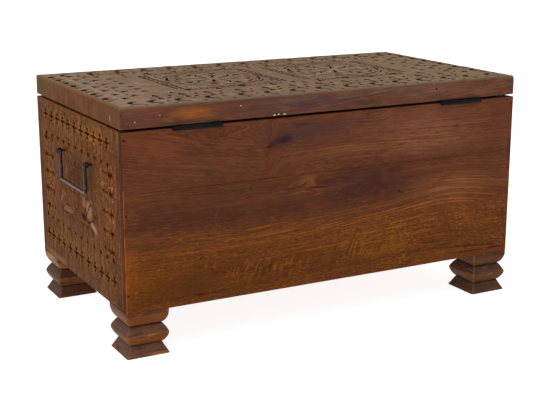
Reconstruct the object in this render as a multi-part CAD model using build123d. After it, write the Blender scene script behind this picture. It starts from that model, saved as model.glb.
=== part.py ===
from build123d import *
import os

# Low carved wooden chest on four cut feet, with a hinged lid and a drop handle at each end.
# Millimetres. +Z is up, X runs along the length, the front is towards -Y and the hinges are at the back, towards +Y.
# Left and right are those of someone who stands in front of the chest: right is +X.

# ---- driving dimensions ----
length = 900.0            # outside of the case along X
depth = 497.0             # outside of the case along Y, without the hinge barrels
foot_h = 90.0             # floor to the underside of the case
body_h = 346.0            # height of the case boards
seam = 5.0                # open seam between case and lid, set by the hinge leaves
lid_h = 40.0              # height of the lid's rim
board_t = 20.0            # thickness of every case and rim board
lip = 8.0                 # what a rabbet leaves of a board's thickness on the outside
floor_t = 15.0            # floor boards
floor_boards = 6
floor_gap = 0.6           # gap between two floor boards
fit = 0.1                 # radial room of a nail, screw or dowel in its hole
back_joint_z = 320.0      # joint between the two back boards
plank_joint_y = 115.0     # joints of the lid planks, each side of the middle
batten_w, batten_t = 45.0, 12.0
batten_x = 205.0

foot_wx, foot_wy = 88.0, 89.0
foot_notch = 12.0         # depth of the V cuts in a foot
foot_z_notch_low, foot_z_tip, foot_z_notch_high = 22.5, 42.0, 61.5

hinge_x = (-306.5, 298.5)     # middle of each hinge
hinge_len = 100.0
barrel_r = 4.5
pin_r = 2.5
bore_r = 2.58                 # lid knuckles run on the pin
axis_off = 4.8                # hinge axis outside the rear face
leaf_t = 2.2
leaf_w = 19.0
knuckle_gap = 0.5

bail_y = 3.0                  # middle of a handle
bail_half = 73.0              # leg centre line from the handle's middle
bail_z = 346.5                # pivot height
bail_drop = 57.0              # pivot to the middle of the grip
bail_r = 3.4
bail_off = 10.0               # pivot axis outside the end panel
eye_wire = 1.4                # radius of the staple's wire
eye_in = 3.8                  # inside radius of the staple's eye
eye_y = 80.8                  # eye's middle from the handle's middle

# ---- derived ----
hx, hy = length / 2, depth / 2
z0 = foot_h
z1 = foot_h + body_h
z2 = z1 + seam
z3 = z2 + lid_h
z_axis = z1                  # the hinge axis is level with the case's top edge
y_axis = hy + axis_off
y_shift = (axis_off + barrel_r) / 2      # puts the origin under the middle of the whole box

nodes = {}


def block(xa, xb, ya, yb, za, zb):
    return Pos((xa + xb) / 2, (ya + yb) / 2, (za + zb) / 2) * Box(abs(xb - xa), abs(yb - ya), abs(zb - za))


def rod(p, q, r):
    a, b = Vector(*p), Vector(*q)
    d = b - a
    return Plane(origin=a, z_dir=d) * Cylinder(r, d.length, align=(Align.CENTER, Align.CENTER, Align.MIN))


def nail(p, d, size=45.0, r=1.3, head_r=2.8, head_t=1.0, grow=0.0):
    # p is the middle of the head's outer face, d the way the nail is driven; with grow, the hole for it, open above the head
    pl = Plane(origin=Vector(*p), z_dir=Vector(*d))
    low = (Align.CENTER, Align.CENTER, Align.MIN)
    above = 2.0 if grow else 0.0
    head = pl * Pos(0, 0, -above) * Cylinder(head_r + grow, head_t + above, align=low)
    return head + (pl * Pos(0, 0, head_t) * Cylinder(r + grow, size - head_t - 4, align=low)) + (
        pl * Pos(0, 0, size - 4) * Cone(r + grow, 0.25 + grow, 4 + grow, align=low))


def screw(p, d, size, r=2.0, head_r=4.0, head_t=2.2, grow=0.0):
    # countersunk wood screw; p is the middle of its flush head; with grow, the hole for it, open above the head
    pl = Plane(origin=Vector(*p), z_dir=Vector(*d))
    low = (Align.CENTER, Align.CENTER, Align.MIN)
    s = (pl * Cone(head_r + grow, r + grow, head_t, align=low)) + (pl * Pos(0, 0, head_t) * Cylinder(r + grow, size - head_t - 3, align=low)) + (
        pl * Pos(0, 0, size - 3) * Cone(r + grow, 0.3 + grow, 3 + grow, align=low))
    if grow:
        return s + (pl * Pos(0, 0, -2) * Cylinder(head_r + grow, 2.0, align=low))
    return s - (pl * Box(2 * head_r + 1, 1.0, 1.6))


def group(name, solids):
    nodes[name] = Compound(children=[s for s in solids])


def cut(name, tools):
    s = nodes[name]
    bb = s.bounding_box()
    for t in tools:
        tb = t.bounding_box()
        if (tb.min.X < bb.max.X and tb.max.X > bb.min.X and tb.min.Y < bb.max.Y and tb.max.Y > bb.min.Y
                and tb.min.Z < bb.max.Z and tb.max.Z > bb.min.Z):
            s = s - t
    nodes[name] = s


# ---- case boards ----
# Back and front boards run the whole length. Their ends are rabbeted, so that only the lip laps the end panels.
# Their lower inner edge is rabbeted for the floor.
def long_board(side, za, zb, floor_rabbet):
    out, inn, lp = side * hy, side * (hy - board_t), side * (hy - lip)
    b = block(-hx, hx, lp, out, za, zb) + block(-(hx - board_t), hx - board_t, inn, lp, za, zb)
    if floor_rabbet:
        b = b - block(-hx, hx, inn - side * 1, lp, z0 - 1, z0 + floor_t)
    return b


nodes["back_board_lower"] = long_board(1, z0, back_joint_z, True)
nodes["back_board_upper"] = long_board(1, back_joint_z, z1, False)
nodes["front_panel"] = long_board(-1, z0, z1, True)


def end_panel(side):
    p = block(side * (hx - board_t), side * hx, -(hy - lip), hy - lip, z0, z1)
    return p - block(side * (hx - board_t - 1), side * (hx - lip), -hy, hy, z0 - 1, z0 + floor_t)


nodes["end_panel_left"] = end_panel(-1)
nodes["end_panel_right"] = end_panel(1)

# Floor boards run from front to back and lie in the rabbets.
fx = hx - lip
fw = (2 * fx - (floor_boards - 1) * floor_gap) / floor_boards
for i in range(floor_boards):
    xa = -fx + i * (fw + floor_gap)
    nodes["floor_board_%d" % (i + 1)] = block(xa, xa + fw, -(hy - lip), hy - lip, z0, z0 + floor_t)


# ---- feet ----
# A square block with a half lobe at the top, a full lobe in the middle and a flare at the bottom, cut on all four sides.
def foot_profile(w):
    h, n = w / 2, foot_notch
    zl, zt, zh = foot_z_notch_low, foot_z_tip, foot_z_notch_high
    right = [
        Line((0, 0), (h, 0)),
        Line((h, 0), (h, 2)),
        Line((h, 2), (h - n, zl)),
        ThreePointArc((h - n, zl), (h - 5.0, zl + 9.0), (h, zt - 1.5)),
        Line((h, zt - 1.5), (h, zt + 1.5)),
        ThreePointArc((h, zt + 1.5), (h - 5.3, zt + 11.0), (h - n, zh)),
        ThreePointArc((h - n, zh), (h - 3.4, 75.0), (h, foot_h)),
        Line((h, foot_h), (0, foot_h)),
    ]
    left = [e.mirror(Plane.YZ) for e in right]
    return make_face(Wire(right[1:7] + [Line((h, foot_h), (-h, foot_h)), Line((-h, 0), (h, 0))] + left[1:7]))


def foot(sx, sy):
    fxz = extrude(Plane.XZ * foot_profile(foot_wx), foot_wy / 2, both=True)
    fyz = extrude(Plane.YZ * foot_profile(foot_wy), foot_wx / 2, both=True)
    b = fxz & fyz
    return Pos(sx * (hx - foot_wx / 2), sy * (hy - foot_wy / 2), 0) * b


feet = {"foot_front_left": (-1, -1), "foot_front_right": (1, -1), "foot_rear_left": (-1, 1), "foot_rear_right": (1, 1)}
for name, (sx, sy) in feet.items():
    nodes[name] = foot(sx, sy)

screw_at = [(sx * x, sy * y, z0 + floor_t) for sx, sy in feet.values() for x in (378.0, 414.0) for y in (176.0, 212.0)]
foot_holes = [screw(p, (0, 0, -1), 60.0, 2.5, 5.0, 3.0, fit) for p in screw_at]
group("foot_screws", [screw(p, (0, 0, -1), 60.0, 2.5, 5.0, 3.0) for p in screw_at])
for name in list(feet) + ["floor_board_%d" % (i + 1) for i in range(floor_boards)]:
    cut(name, foot_holes)

# ---- nails and dowels of the case ----
corner_at = [((sx * (hx - 6.5), sy * (hy - 0.3), z), (0, -sy, 0)) for sx in (-1, 1) for sy in (-1, 1) for z in (126.0, 280.0, 421.0)]
group("corner_nails", [nail(p, d) for p, d in corner_at])
corner_holes = [nail(p, d, grow=fit) for p, d in corner_at]
for name in ("back_board_upper", "back_board_lower", "front_panel", "end_panel_left", "end_panel_right"):
    cut(name, corner_holes)

floor_nail_at = []
for i in range(floor_boards):
    xa = -fx + i * (fw + floor_gap)
    for x in (xa + 30, xa + fw - 30):
        for sy in (-1, 1):
            floor_nail_at.append((x, sy * (hy - 14.0), z0))
group("floor_nails", [nail(p, (0, 0, 1), 38.0) for p in floor_nail_at])
floor_nail_holes = [nail(p, (0, 0, 1), 38.0, grow=fit) for p in floor_nail_at]
for name in ["back_board_lower", "front_panel"] + ["floor_board_%d" % (i + 1) for i in range(floor_boards)]:
    cut(name, floor_nail_holes)

dowels = [rod((x, hy - board_t / 2, back_joint_z - 20), (x, hy - board_t / 2, back_joint_z + 20), 4.0) for x in (-370, -125, 125, 370)]
group("back_dowels", dowels)
dowel_holes = [rod((x, hy - board_t / 2, back_joint_z - 20.5), (x, hy - board_t / 2, back_joint_z + 20.5), 4.0 + fit) for x in (-370, -125, 125, 370)]
cut("back_board_upper", dowel_holes)
cut("back_board_lower", dowel_holes)


# ---- lid ----
# The rim boards lap at the corners as the case boards do, and are rabbeted at the top for the planks.
def rim_long(side):
    out, inn, lp = side * hy, side * (hy - board_t), side * (hy - lip)
    return block(-hx, hx, lp, out, z2, z3) + block(-(hx - board_t), hx - board_t, inn, lp, z2, z3 - board_t)


def rim_short(side):
    out, inn, lp = side * hx, side * (hx - board_t), side * (hx - lip)
    return block(lp, out, -(hy - lip), hy - lip, z2, z3) + block(inn, lp, -(hy - lip), hy - lip, z2, z3 - board_t)


nodes["lid_rim_rear"] = rim_long(1)
nodes["lid_rim_front"] = rim_long(-1)
nodes["lid_rim_left"] = rim_short(-1)
nodes["lid_rim_right"] = rim_short(1)
px, py = hx - lip, hy - lip
nodes["lid_plank_front"] = block(-px, px, -py, -plank_joint_y, z3 - board_t, z3)
nodes["lid_plank_middle"] = block(-px, px, -plank_joint_y, plank_joint_y, z3 - board_t, z3)
nodes["lid_plank_rear"] = block(-px, px, plank_joint_y, py, z3 - board_t, z3)
zb = z3 - board_t
for name, s in (("lid_batten_left", -1), ("lid_batten_right", 1)):
    nodes[name] = block(s * batten_x - batten_w / 2, s * batten_x + batten_w / 2, -(hy - board_t - 0.5), hy - board_t - 0.5, zb - batten_t, zb)

batten_at = [(s * batten_x + dx, y, zb - batten_t) for s in (-1, 1) for y, dx in ((-195, -11), (-150, 11), (-80, -11), (0, 11), (80, -11), (150, 11), (195, -11))]
group("lid_batten_screws", [screw(p, (0, 0, 1), 25.0, 1.8, 3.6, 2.0) for p in batten_at])
holes = [screw(p, (0, 0, 1), 25.0, 1.8, 3.6, 2.0, fit) for p in batten_at]
for name in ("lid_batten_left", "lid_batten_right", "lid_plank_front", "lid_plank_middle", "lid_plank_rear"):
    cut(name, holes)

lid_nail_at = [((sx * (hx - (4.0 if z > zb else 9.0)), sy * (hy - 0.3), z), (0, -sy, 0)) for sx in (-1, 1) for sy in (-1, 1) for z in (z2 + 9.0, z3 - 14.0)]
group("lid_corner_nails", [nail(p, d, 40.0, 1.2, 2.5) for p, d in lid_nail_at])
lid_nail_holes = [nail(p, d, 40.0, 1.2, 2.5, grow=fit) for p, d in lid_nail_at]
for name in ("lid_rim_rear", "lid_rim_front", "lid_rim_left", "lid_rim_right"):
    cut(name, lid_nail_holes)

lid_dowels = [rod((x, s * plank_joint_y - 18, z3 - 10), (x, s * plank_joint_y + 18, z3 - 10), 3.0) for s in (-1, 1) for x in (-380, -130, 130, 380)]
group("lid_dowels", lid_dowels)
lid_dowel_holes = [rod((x, s * plank_joint_y - 18.5, z3 - 10), (x, s * plank_joint_y + 18.5, z3 - 10), 3.0 + fit) for s in (-1, 1) for x in (-380, -130, 130, 380)]
for name in ("lid_plank_front", "lid_plank_middle", "lid_plank_rear"):
    cut(name, lid_dowel_holes)

# Two thin pads under the front rim rest on the front panel, so that the seam is even all round.
group("lid_rest_pads", [rod((x, -(hy - board_t / 2), z1), (x, -(hy - board_t / 2), z2), 6.0) for x in (-350.0, 350.0)])


# ---- hinges ----
# Butt hinges whose leaves lie flat in the seam: five knuckles, three on the case leaf and two on the lid leaf.
# The case leaf meets the barrel at its middle, the lid leaf at its top.
def knuckles(xc, which, r_bore):
    n, pitch = 5, hinge_len / 5
    out = None
    for i in range(n):
        if (i % 2 == 0) == (which == "body"):
            xa = xc - hinge_len / 2 + i * pitch + (0 if i == 0 else knuckle_gap / 2)
            xb = xc - hinge_len / 2 + (i + 1) * pitch - (0 if i == n - 1 else knuckle_gap / 2)
            za, zb_ = (z1, z1 + leaf_t) if which == "body" else (z2 - leaf_t, z2)
            k = rod((xa, y_axis, z_axis), (xb, y_axis, z_axis), barrel_r)
            web = block(xa, xb, hy - 1.0, y_axis, za, zb_)
            k = (k + web) - rod((xa - 1, y_axis, z_axis), (xb + 1, y_axis, z_axis), r_bore)
            out = k if out is None else out + k
    return out


def leaf(xc, which):
    za, zb_ = (z1, z1 + leaf_t) if which == "body" else (z2 - leaf_t, z2)
    r = pin_r + 0.02 if which == "body" else bore_r
    return block(xc - hinge_len / 2, xc + hinge_len / 2, hy - leaf_w, hy - 0.3, za, zb_) + knuckles(xc, which, r)


hole_dx = (-36.0, 0.0, 36.0)
for side, xc in zip(("left", "right"), hinge_x):
    nodes["hinge_body_leaf_" + side] = leaf(xc, "body")
    nodes["hinge_lid_leaf_" + side] = leaf(xc, "lid")
    xa, xb = xc - hinge_len / 2, xc + hinge_len / 2
    low = (Align.CENTER, Align.CENTER, Align.MIN)
    pin = rod((xa, y_axis, z_axis), (xb, y_axis, z_axis), pin_r)
    for x, d in ((xb, 1), (xa, -1)):
        pin = pin + Plane(origin=(x, y_axis, z_axis), z_dir=(d, 0, 0)) * Cone(3.4, 2.0, 1.6, align=low)
    nodes["hinge_pin_" + side] = pin

body_screw_at = [(xc + dx, hy - 10.5, z1 + leaf_t) for xc in hinge_x for dx in hole_dx]
lid_screw_at = [(xc + dx, hy - 10.5, z2 - leaf_t) for xc in hinge_x for dx in hole_dx]
group("hinge_body_screws", [screw(p, (0, 0, -1), 25.0) for p in body_screw_at])
group("hinge_lid_screws", [screw(p, (0, 0, 1), 18.0) for p in lid_screw_at])
for name in ("hinge_body_leaf_left", "hinge_body_leaf_right", "back_board_upper"):
    cut(name, [screw(p, (0, 0, -1), 25.0, grow=fit) for p in body_screw_at])
for name in ("hinge_lid_leaf_left", "hinge_lid_leaf_right", "lid_rim_rear"):
    cut(name, [screw(p, (0, 0, 1), 18.0, grow=fit) for p in lid_screw_at])


# ---- handles ----
# A bent round bar whose ends turn outwards into two eye staples. The staples go through the end panel and are clenched inside.
def staple(side, ys, grow=0.0):
    xe = side * (hx + bail_off)
    major = eye_in + eye_wire
    y = bail_y + ys * eye_y
    r = eye_wire + grow
    s = Pos(xe, y, bail_z) * Rot(90, 0, 0) * Torus(major, r)
    x_in = side * (hx - board_t - eye_wire)
    x_ring = xe - side * (major - 0.6)
    for k in (-1, 1):
        zz = bail_z + k * 1.3
        s = s + rod((x_ring, y, zz), (x_in, y, zz), r)
        s = s + Pos(x_in, y, zz) * Sphere(r)
        if not grow:
            s = s + rod((x_in, y, zz), (x_in, y, zz + k * 17.0), r)
            s = s + Pos(x_in, y, zz + k * 17.0) * Sphere(r)
    return s


for side, sx in (("left", -1), ("right", 1)):
    for which, ys in (("front", -1), ("rear", 1)):
        name = "handle_staple_%s_%s" % (side, which)
        nodes[name] = staple(sx, ys)
        nodes["end_panel_" + side] = nodes["end_panel_" + side] - staple(sx, ys, fit)
    xe = sx * (hx + bail_off)
    y_end = eye_y + eye_wire + 2.0
    pts = [(xe, bail_y - y_end, bail_z), (xe, bail_y - bail_half, bail_z), (xe, bail_y - bail_half, bail_z - bail_drop),
           (xe, bail_y + bail_half, bail_z - bail_drop), (xe, bail_y + bail_half, bail_z), (xe, bail_y + y_end, bail_z)]
    path = FilletPolyline(*pts, radius=6.0)
    bail = sweep(Plane(origin=pts[0], z_dir=(0, 1, 0)) * Circle(bail_r), path=path)
    for ys in (-1, 1):
        y = bail_y + ys * y_end
        bail = bail + rod((xe, y, bail_z), (xe, y + ys * 1.6, bail_z), 4.3)
    nodes["handle_bail_" + side] = bail

# ---- export ----
os.makedirs("parts", exist_ok=True)
for name, shape in sorted(nodes.items()):
    moved = Pos(0, -y_shift, 0) * shape
    export_step(moved, os.path.join("parts", name + ".step"))
    print("%-28s solids %2d volume %.0f" % (name, len(moved.solids()), sum(s.volume for s in moved.solids())))
print("nodes", len(nodes), "y_shift", y_shift, "hinge axis y", y_axis - y_shift, "z", z_axis)
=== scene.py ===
import math

import bpy
import numpy as np
from mathutils import Matrix, Vector, geometry
from mathutils import noise as mnoise


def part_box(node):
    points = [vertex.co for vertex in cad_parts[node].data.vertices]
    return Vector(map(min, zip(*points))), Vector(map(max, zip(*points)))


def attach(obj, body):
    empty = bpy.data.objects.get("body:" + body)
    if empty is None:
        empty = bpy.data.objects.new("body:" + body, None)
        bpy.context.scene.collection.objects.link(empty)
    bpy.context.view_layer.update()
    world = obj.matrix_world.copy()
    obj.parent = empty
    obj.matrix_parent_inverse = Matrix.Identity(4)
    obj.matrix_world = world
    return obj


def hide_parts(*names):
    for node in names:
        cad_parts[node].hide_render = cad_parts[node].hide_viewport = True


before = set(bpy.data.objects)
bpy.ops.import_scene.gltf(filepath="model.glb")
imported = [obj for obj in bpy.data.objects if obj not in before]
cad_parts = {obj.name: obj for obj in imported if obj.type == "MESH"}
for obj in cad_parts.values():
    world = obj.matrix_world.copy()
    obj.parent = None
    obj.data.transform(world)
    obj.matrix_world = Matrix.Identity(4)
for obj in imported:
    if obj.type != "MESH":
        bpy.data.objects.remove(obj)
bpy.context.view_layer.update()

# ------------------------------------------------------------------ sizes, all read from the frame, in millimetres
# Everything is worked out in the case's own middle, and moved into the row frame when a mesh is made.
_lo, _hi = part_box("end_panel_right")
CY = (_lo.y + _hi.y) / 2
HX = _hi.x * 1000
PY = (_hi.y - CY) * 1000                                   # half of the end panels and planks along Y
_lo, _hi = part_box("back_board_lower")
HY = (_hi.y - CY) * 1000
Z0, ZJ = _lo.z * 1000, _hi.z * 1000
Z1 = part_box("back_board_upper")[1].z * 1000
Z2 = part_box("lid_rim_rear")[0].z * 1000
_lo, _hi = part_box("lid_plank_middle")
PX, PJ, Z3 = _hi.x * 1000, (_hi.y - CY) * 1000, _hi.z * 1000
LIP = HX - PX
BT = 20.0
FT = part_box("floor_board_1")[1].z * 1000 - Z0

FACES = {
    "rear": ((0, HY, 0), (-1, 0, 0), (0, 0, 1), (0, 1, 0)),
    "front": ((0, -HY, 0), (1, 0, 0), (0, 0, 1), (0, -1, 0)),
    "right": ((HX, 0, 0), (0, 1, 0), (0, 0, 1), (1, 0, 0)),
    "left": ((-HX, 0, 0), (0, -1, 0), (0, 0, 1), (-1, 0, 0)),
    "top": ((0, 0, Z3), (1, 0, 0), (0, 1, 0), (0, 0, 1)),
}


def rnd(*k):
    """A fixed number from -1 to 1 for these keys."""
    return mnoise.noise(Vector((k[0] * 3.137 + 11.3, (k[1] if len(k) > 1 else 0) * 7.731 + 3.7, (k[2] if len(k) > 2 else 0) * 5.177 + 1.9))) * 1.6


def srgb(r, g, b):
    def f(c):
        c /= 255.0
        return c / 12.92 if c <= 0.04045 else ((c + 0.055) / 1.055) ** 2.4
    return (f(r), f(g), f(b), 1.0)


# ------------------------------------------------------------------ node helper
class Tree:
    def __init__(self, name):
        self.mat = bpy.data.materials.new(name)
        self.mat.use_nodes = True
        self.nt = self.mat.node_tree
        self.nt.nodes.clear()
        self.out = self.nt.nodes.new("ShaderNodeOutputMaterial")
        self.b = self.nt.nodes.new("ShaderNodeBsdfPrincipled")
        self.nt.links.new(self.b.outputs["BSDF"], self.out.inputs["Surface"])
        self._obj = None
        self._attr = {}

    def put(self, sock, value):
        if hasattr(value, "is_linked"):
            self.nt.links.new(value, sock)
        elif isinstance(value, (tuple, list)) and len(value) == 3 and sock.type == "RGBA":
            sock.default_value = (*value, 1.0)
        else:
            sock.default_value = value

    def node(self, kind, **ins):
        n = self.nt.nodes.new(kind)
        for k, v in ins.items():
            self.put(n.inputs[k], v)
        return n

    def obj(self):
        """Object coordinates in millimetres."""
        if self._obj is None:
            tc = self.nt.nodes.new("ShaderNodeTexCoord")
            m = self.vm("SCALE", tc.outputs["Object"], scale=1000.0)
            self._obj = m
            self._normal = tc.outputs["Normal"]
        return self._obj

    def attr(self, name):
        if name not in self._attr:
            n = self.nt.nodes.new("ShaderNodeAttribute")
            n.attribute_type = "GEOMETRY"
            n.attribute_name = name
            self._attr[name] = n.outputs["Fac"]
        return self._attr[name]

    def vm(self, op, a, b=None, scale=None):
        n = self.nt.nodes.new("ShaderNodeVectorMath")
        n.operation = op
        self.put(n.inputs[0], a)
        if b is not None:
            self.put(n.inputs[1], b)
        if scale is not None:
            self.put(n.inputs["Scale"], scale)
        return n.outputs["Value"] if op in ("LENGTH", "DOT_PRODUCT", "DISTANCE") else n.outputs["Vector"]

    def m(self, op, a, b=None, c=None, clamp=False):
        n = self.nt.nodes.new("ShaderNodeMath")
        n.operation = op
        n.use_clamp = clamp
        for i, v in enumerate((a, b, c)):
            if v is not None:
                self.put(n.inputs[i], v)
        return n.outputs[0]

    def add(self, *xs):
        r = xs[0]
        for x in xs[1:]:
            r = self.m("ADD", r, x)
        return r

    def mul(self, *xs):
        r = xs[0]
        for x in xs[1:]:
            r = self.m("MULTIPLY", r, x)
        return r

    def xyz(self, v):
        n = self.nt.nodes.new("ShaderNodeSeparateXYZ")
        self.put(n.inputs[0], v)
        return n.outputs[0], n.outputs[1], n.outputs[2]

    def vec(self, x, y, z):
        n = self.nt.nodes.new("ShaderNodeCombineXYZ")
        for i, v in enumerate((x, y, z)):
            self.put(n.inputs[i], v)
        return n.outputs[0]

    def noise(self, v, detail=3.0, rough=0.5, dist=0.0, scale=1.0, color=False):
        n = self.nt.nodes.new("ShaderNodeTexNoise")
        n.noise_dimensions = "3D"
        self.put(n.inputs["Vector"], v)
        n.inputs["Scale"].default_value = scale
        n.inputs["Detail"].default_value = detail
        n.inputs["Roughness"].default_value = rough
        n.inputs["Distortion"].default_value = dist
        return n.outputs["Color"] if color else n.outputs["Fac"]

    def voronoi(self, v, feature="F1", rand=1.0, scale=1.0, out="Distance"):
        n = self.nt.nodes.new("ShaderNodeTexVoronoi")
        n.voronoi_dimensions = "3D"
        n.feature = feature
        self.put(n.inputs["Vector"], v)
        n.inputs["Scale"].default_value = scale
        n.inputs["Randomness"].default_value = rand
        return n.outputs[out]

    def mr(self, x, a, b, c=0.0, d=1.0, smooth=True):
        n = self.nt.nodes.new("ShaderNodeMapRange")
        n.interpolation_type = "SMOOTHSTEP" if smooth else "LINEAR"
        n.clamp = True
        for k, v in (("Value", x), ("From Min", a), ("From Max", b), ("To Min", c), ("To Max", d)):
            self.put(n.inputs[k], v)
        return n.outputs[0]

    def mix(self, f, a, b, blend="MIX"):
        n = self.nt.nodes.new("ShaderNodeMix")
        n.data_type = "RGBA"
        n.blend_type = blend
        n.clamp_factor = True
        self.put(n.inputs[0], f)
        self.put(n.inputs[6], a)
        self.put(n.inputs[7], b)
        return n.outputs[2]

    def ramp(self, f, stops, interp="LINEAR"):
        n = self.nt.nodes.new("ShaderNodeValToRGB")
        cr = n.color_ramp
        cr.interpolation = interp
        while len(cr.elements) > 1:
            cr.elements.remove(cr.elements[-1])
        cr.elements[0].position = stops[0][0]
        cr.elements[0].color = stops[0][1]
        for p, c in stops[1:]:
            e = cr.elements.new(p)
            e.color = c
        self.put(n.inputs[0], f)
        return n.outputs[0]

    def blob(self, u, v, cu, cv, su, sv, edge=0.0, rot=0.0, wob=None):
        """1 in the middle of an ellipse at (cu, cv), 0 outside it; wob is a noise that frays its edge."""
        du = self.m("SUBTRACT", u, cu)
        dv = self.m("SUBTRACT", v, cv)
        if rot:
            c, s = math.cos(rot), math.sin(rot)
            a = self.add(self.mul(du, c), self.mul(dv, s))
            b = self.add(self.mul(du, -s), self.mul(dv, c))
            du, dv = a, b
        d = self.vm("LENGTH", self.vec(self.mul(du, 1.0 / su), self.mul(dv, 1.0 / sv), 0.0))
        if wob is not None:
            d = self.add(d, wob)
        return self.mr(d, 1.0, edge, 0.0, 1.0)

    def bump(self, height, strength=0.3, distance=0.001, normal=None):
        n = self.nt.nodes.new("ShaderNodeBump")
        n.inputs["Strength"].default_value = strength
        n.inputs["Distance"].default_value = distance
        self.put(n.inputs["Height"], height)
        if normal is not None:
            self.put(n.inputs["Normal"], normal)
        return n.outputs["Normal"]


# ------------------------------------------------------------------ cuts
# A cut is a small 2-D triangle mesh with a depth at each corner. Its lines become edges of the carved face.
class Cuts:
    def __init__(self):
        self.items = []            # (points, depths, triangles, tone): tone 0 is a dark cut with worn lips, 1 a fresh light one, -1 dark all over
        self.lips = []             # loose points just outside the cuts
        self.tone = 0.0

    def mesh(self, pts, dep, tris):
        self.items.append((np.array(pts, float), np.array(dep, float), tris, self.tone))

    def chip(self, a, b, c, depth, at=(1, 1, 1)):
        """A three-sided pyramid cut."""
        s = float(sum(at))
        m = ((a[0] * at[0] + b[0] * at[1] + c[0] * at[2]) / s, (a[1] * at[0] + b[1] * at[1] + c[1] * at[2]) / s)
        self.mesh([a, b, c, m], [0, 0, 0, depth], [(0, 1, 3), (1, 2, 3), (2, 0, 3)])
        g = ((a[0] + b[0] + c[0]) / 3, (a[1] + b[1] + c[1]) / 3)
        for q in (a, b, c, ((a[0] + b[0]) / 2, (a[1] + b[1]) / 2), ((c[0] + b[0]) / 2, (c[1] + b[1]) / 2), ((a[0] + c[0]) / 2, (a[1] + c[1]) / 2)):
            l = math.hypot(q[0] - g[0], q[1] - g[1]) or 1.0
            k = 1 + 1.3 / l
            self.lips.append((g[0] + (q[0] - g[0]) * k, g[1] + (q[1] - g[1]) * k))

    def stroke(self, pts, half, dep, lean=0.0, closed=False):
        """A V cut along points, with a half width and a depth at each; lean moves the valley to one side."""
        n = len(pts)
        half = [half] * n if isinstance(half, (int, float)) else half
        dep = [dep] * n if isinstance(dep, (int, float)) else dep
        P, D, L, V, R = [], [], [], [], []
        for i in range(n):
            p = pts[i]
            if closed:
                q0, q1 = pts[i - 1], pts[(i + 1) % n]
            else:
                q0, q1 = pts[max(i - 1, 0)], pts[min(i + 1, n - 1)]
            tx, ty = q1[0] - q0[0], q1[1] - q0[1]
            tl = math.hypot(tx, ty) or 1.0
            nx, ny = -ty / tl, tx / tl
            h = half[i]
            if h < 0.02:
                P.append(p); D.append(0.0)
                L.append(len(P) - 1); V.append(len(P) - 1); R.append(len(P) - 1)
                continue
            P.append((p[0] + nx * h, p[1] + ny * h)); D.append(0.0); L.append(len(P) - 1)
            P.append((p[0] + nx * h * lean, p[1] + ny * h * lean)); D.append(dep[i]); V.append(len(P) - 1)
            P.append((p[0] - nx * h, p[1] - ny * h)); D.append(0.0); R.append(len(P) - 1)
            if h > 1.4:
                self.lips.append((p[0] + nx * (h + 1.3), p[1] + ny * (h + 1.3)))
                self.lips.append((p[0] - nx * (h + 1.3), p[1] - ny * (h + 1.3)))
        T = []
        for i in range(n if closed else n - 1):
            j = (i + 1) % n
            for A in (L, R):
                for t in ((A[i], V[i], A[j]), (V[i], V[j], A[j])):
                    if len(set(t)) == 3:
                        T.append(t)
        self.mesh(P, D, T)

    def lens(self, p, q, half, depth, n=6, bend=0.0, peak=0.5, lean=0.0):
        """A pointed leaf-shaped cut from p to q. peak is where it is widest, bend how far its middle stands off the line."""
        dx, dy = q[0] - p[0], q[1] - p[1]
        l = math.hypot(dx, dy)
        nx, ny = -dy / l, dx / l
        pts, hs, ds = [], [], []
        for i in range(n + 1):
            t = i / n
            s = math.sin(math.pi * t) * bend
            k = math.log(0.5) / math.log(peak)
            w = math.sin(math.pi * t ** k)
            pts.append((p[0] + dx * t + nx * s, p[1] + dy * t + ny * s))
            hs.append(0.0 if i in (0, n) else half * w ** 0.8)
            ds.append(depth * w ** 0.7)
        self.stroke(pts, hs, ds, lean)

    def arc(self, c, r, a0, a1, half, depth, n=7, peak=0.5, lean=0.0, fat=0.7):
        """A crescent on a circle, angles in degrees."""
        pts, hs, ds = [], [], []
        for i in range(n + 1):
            t = i / n
            a = math.radians(a0 + (a1 - a0) * t)
            w = math.sin(math.pi * t ** (math.log(0.5) / math.log(peak)))
            pts.append((c[0] + r * math.cos(a), c[1] + r * math.sin(a)))
            hs.append(0.0 if i in (0, n) else half * w ** fat)
            ds.append(depth * w ** 0.6)
        self.stroke(pts, hs, ds, lean)

    def ring(self, c, r, half, depth, n=48):
        self.stroke([(c[0] + r * math.cos(2 * math.pi * i / n), c[1] + r * math.sin(2 * math.pi * i / n)) for i in range(n)], half, depth, closed=True)

    def line(self, p, q, half, depth, step=40.0, wob=0.0, key=0):
        """A scored line with pointed ends and a slightly unsteady hand."""
        l = math.hypot(q[0] - p[0], q[1] - p[1])
        n = max(3, int(l / step) + 2)
        nx, ny = -(q[1] - p[1]) / l, (q[0] - p[0]) / l
        pts, hs, ds = [], [], []
        for i in range(n + 1):
            t = i / n
            if i == 1:
                t = min(t, 3.0 / l)
            if i == n - 1:
                t = max(t, 1 - 3.0 / l)
            o = wob * rnd(t * l / 35.0, key, 3) if 0 < i < n else 0.0
            pts.append((p[0] + (q[0] - p[0]) * t + nx * o, p[1] + (q[1] - p[1]) * t + ny * o))
            k = 1 + 0.25 * rnd(i, key, 9)
            hs.append(0.0 if i in (0, n) else half * k)
            ds.append(0.0 if i in (0, n) else depth * k)
        self.stroke(pts, hs, ds)

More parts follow.
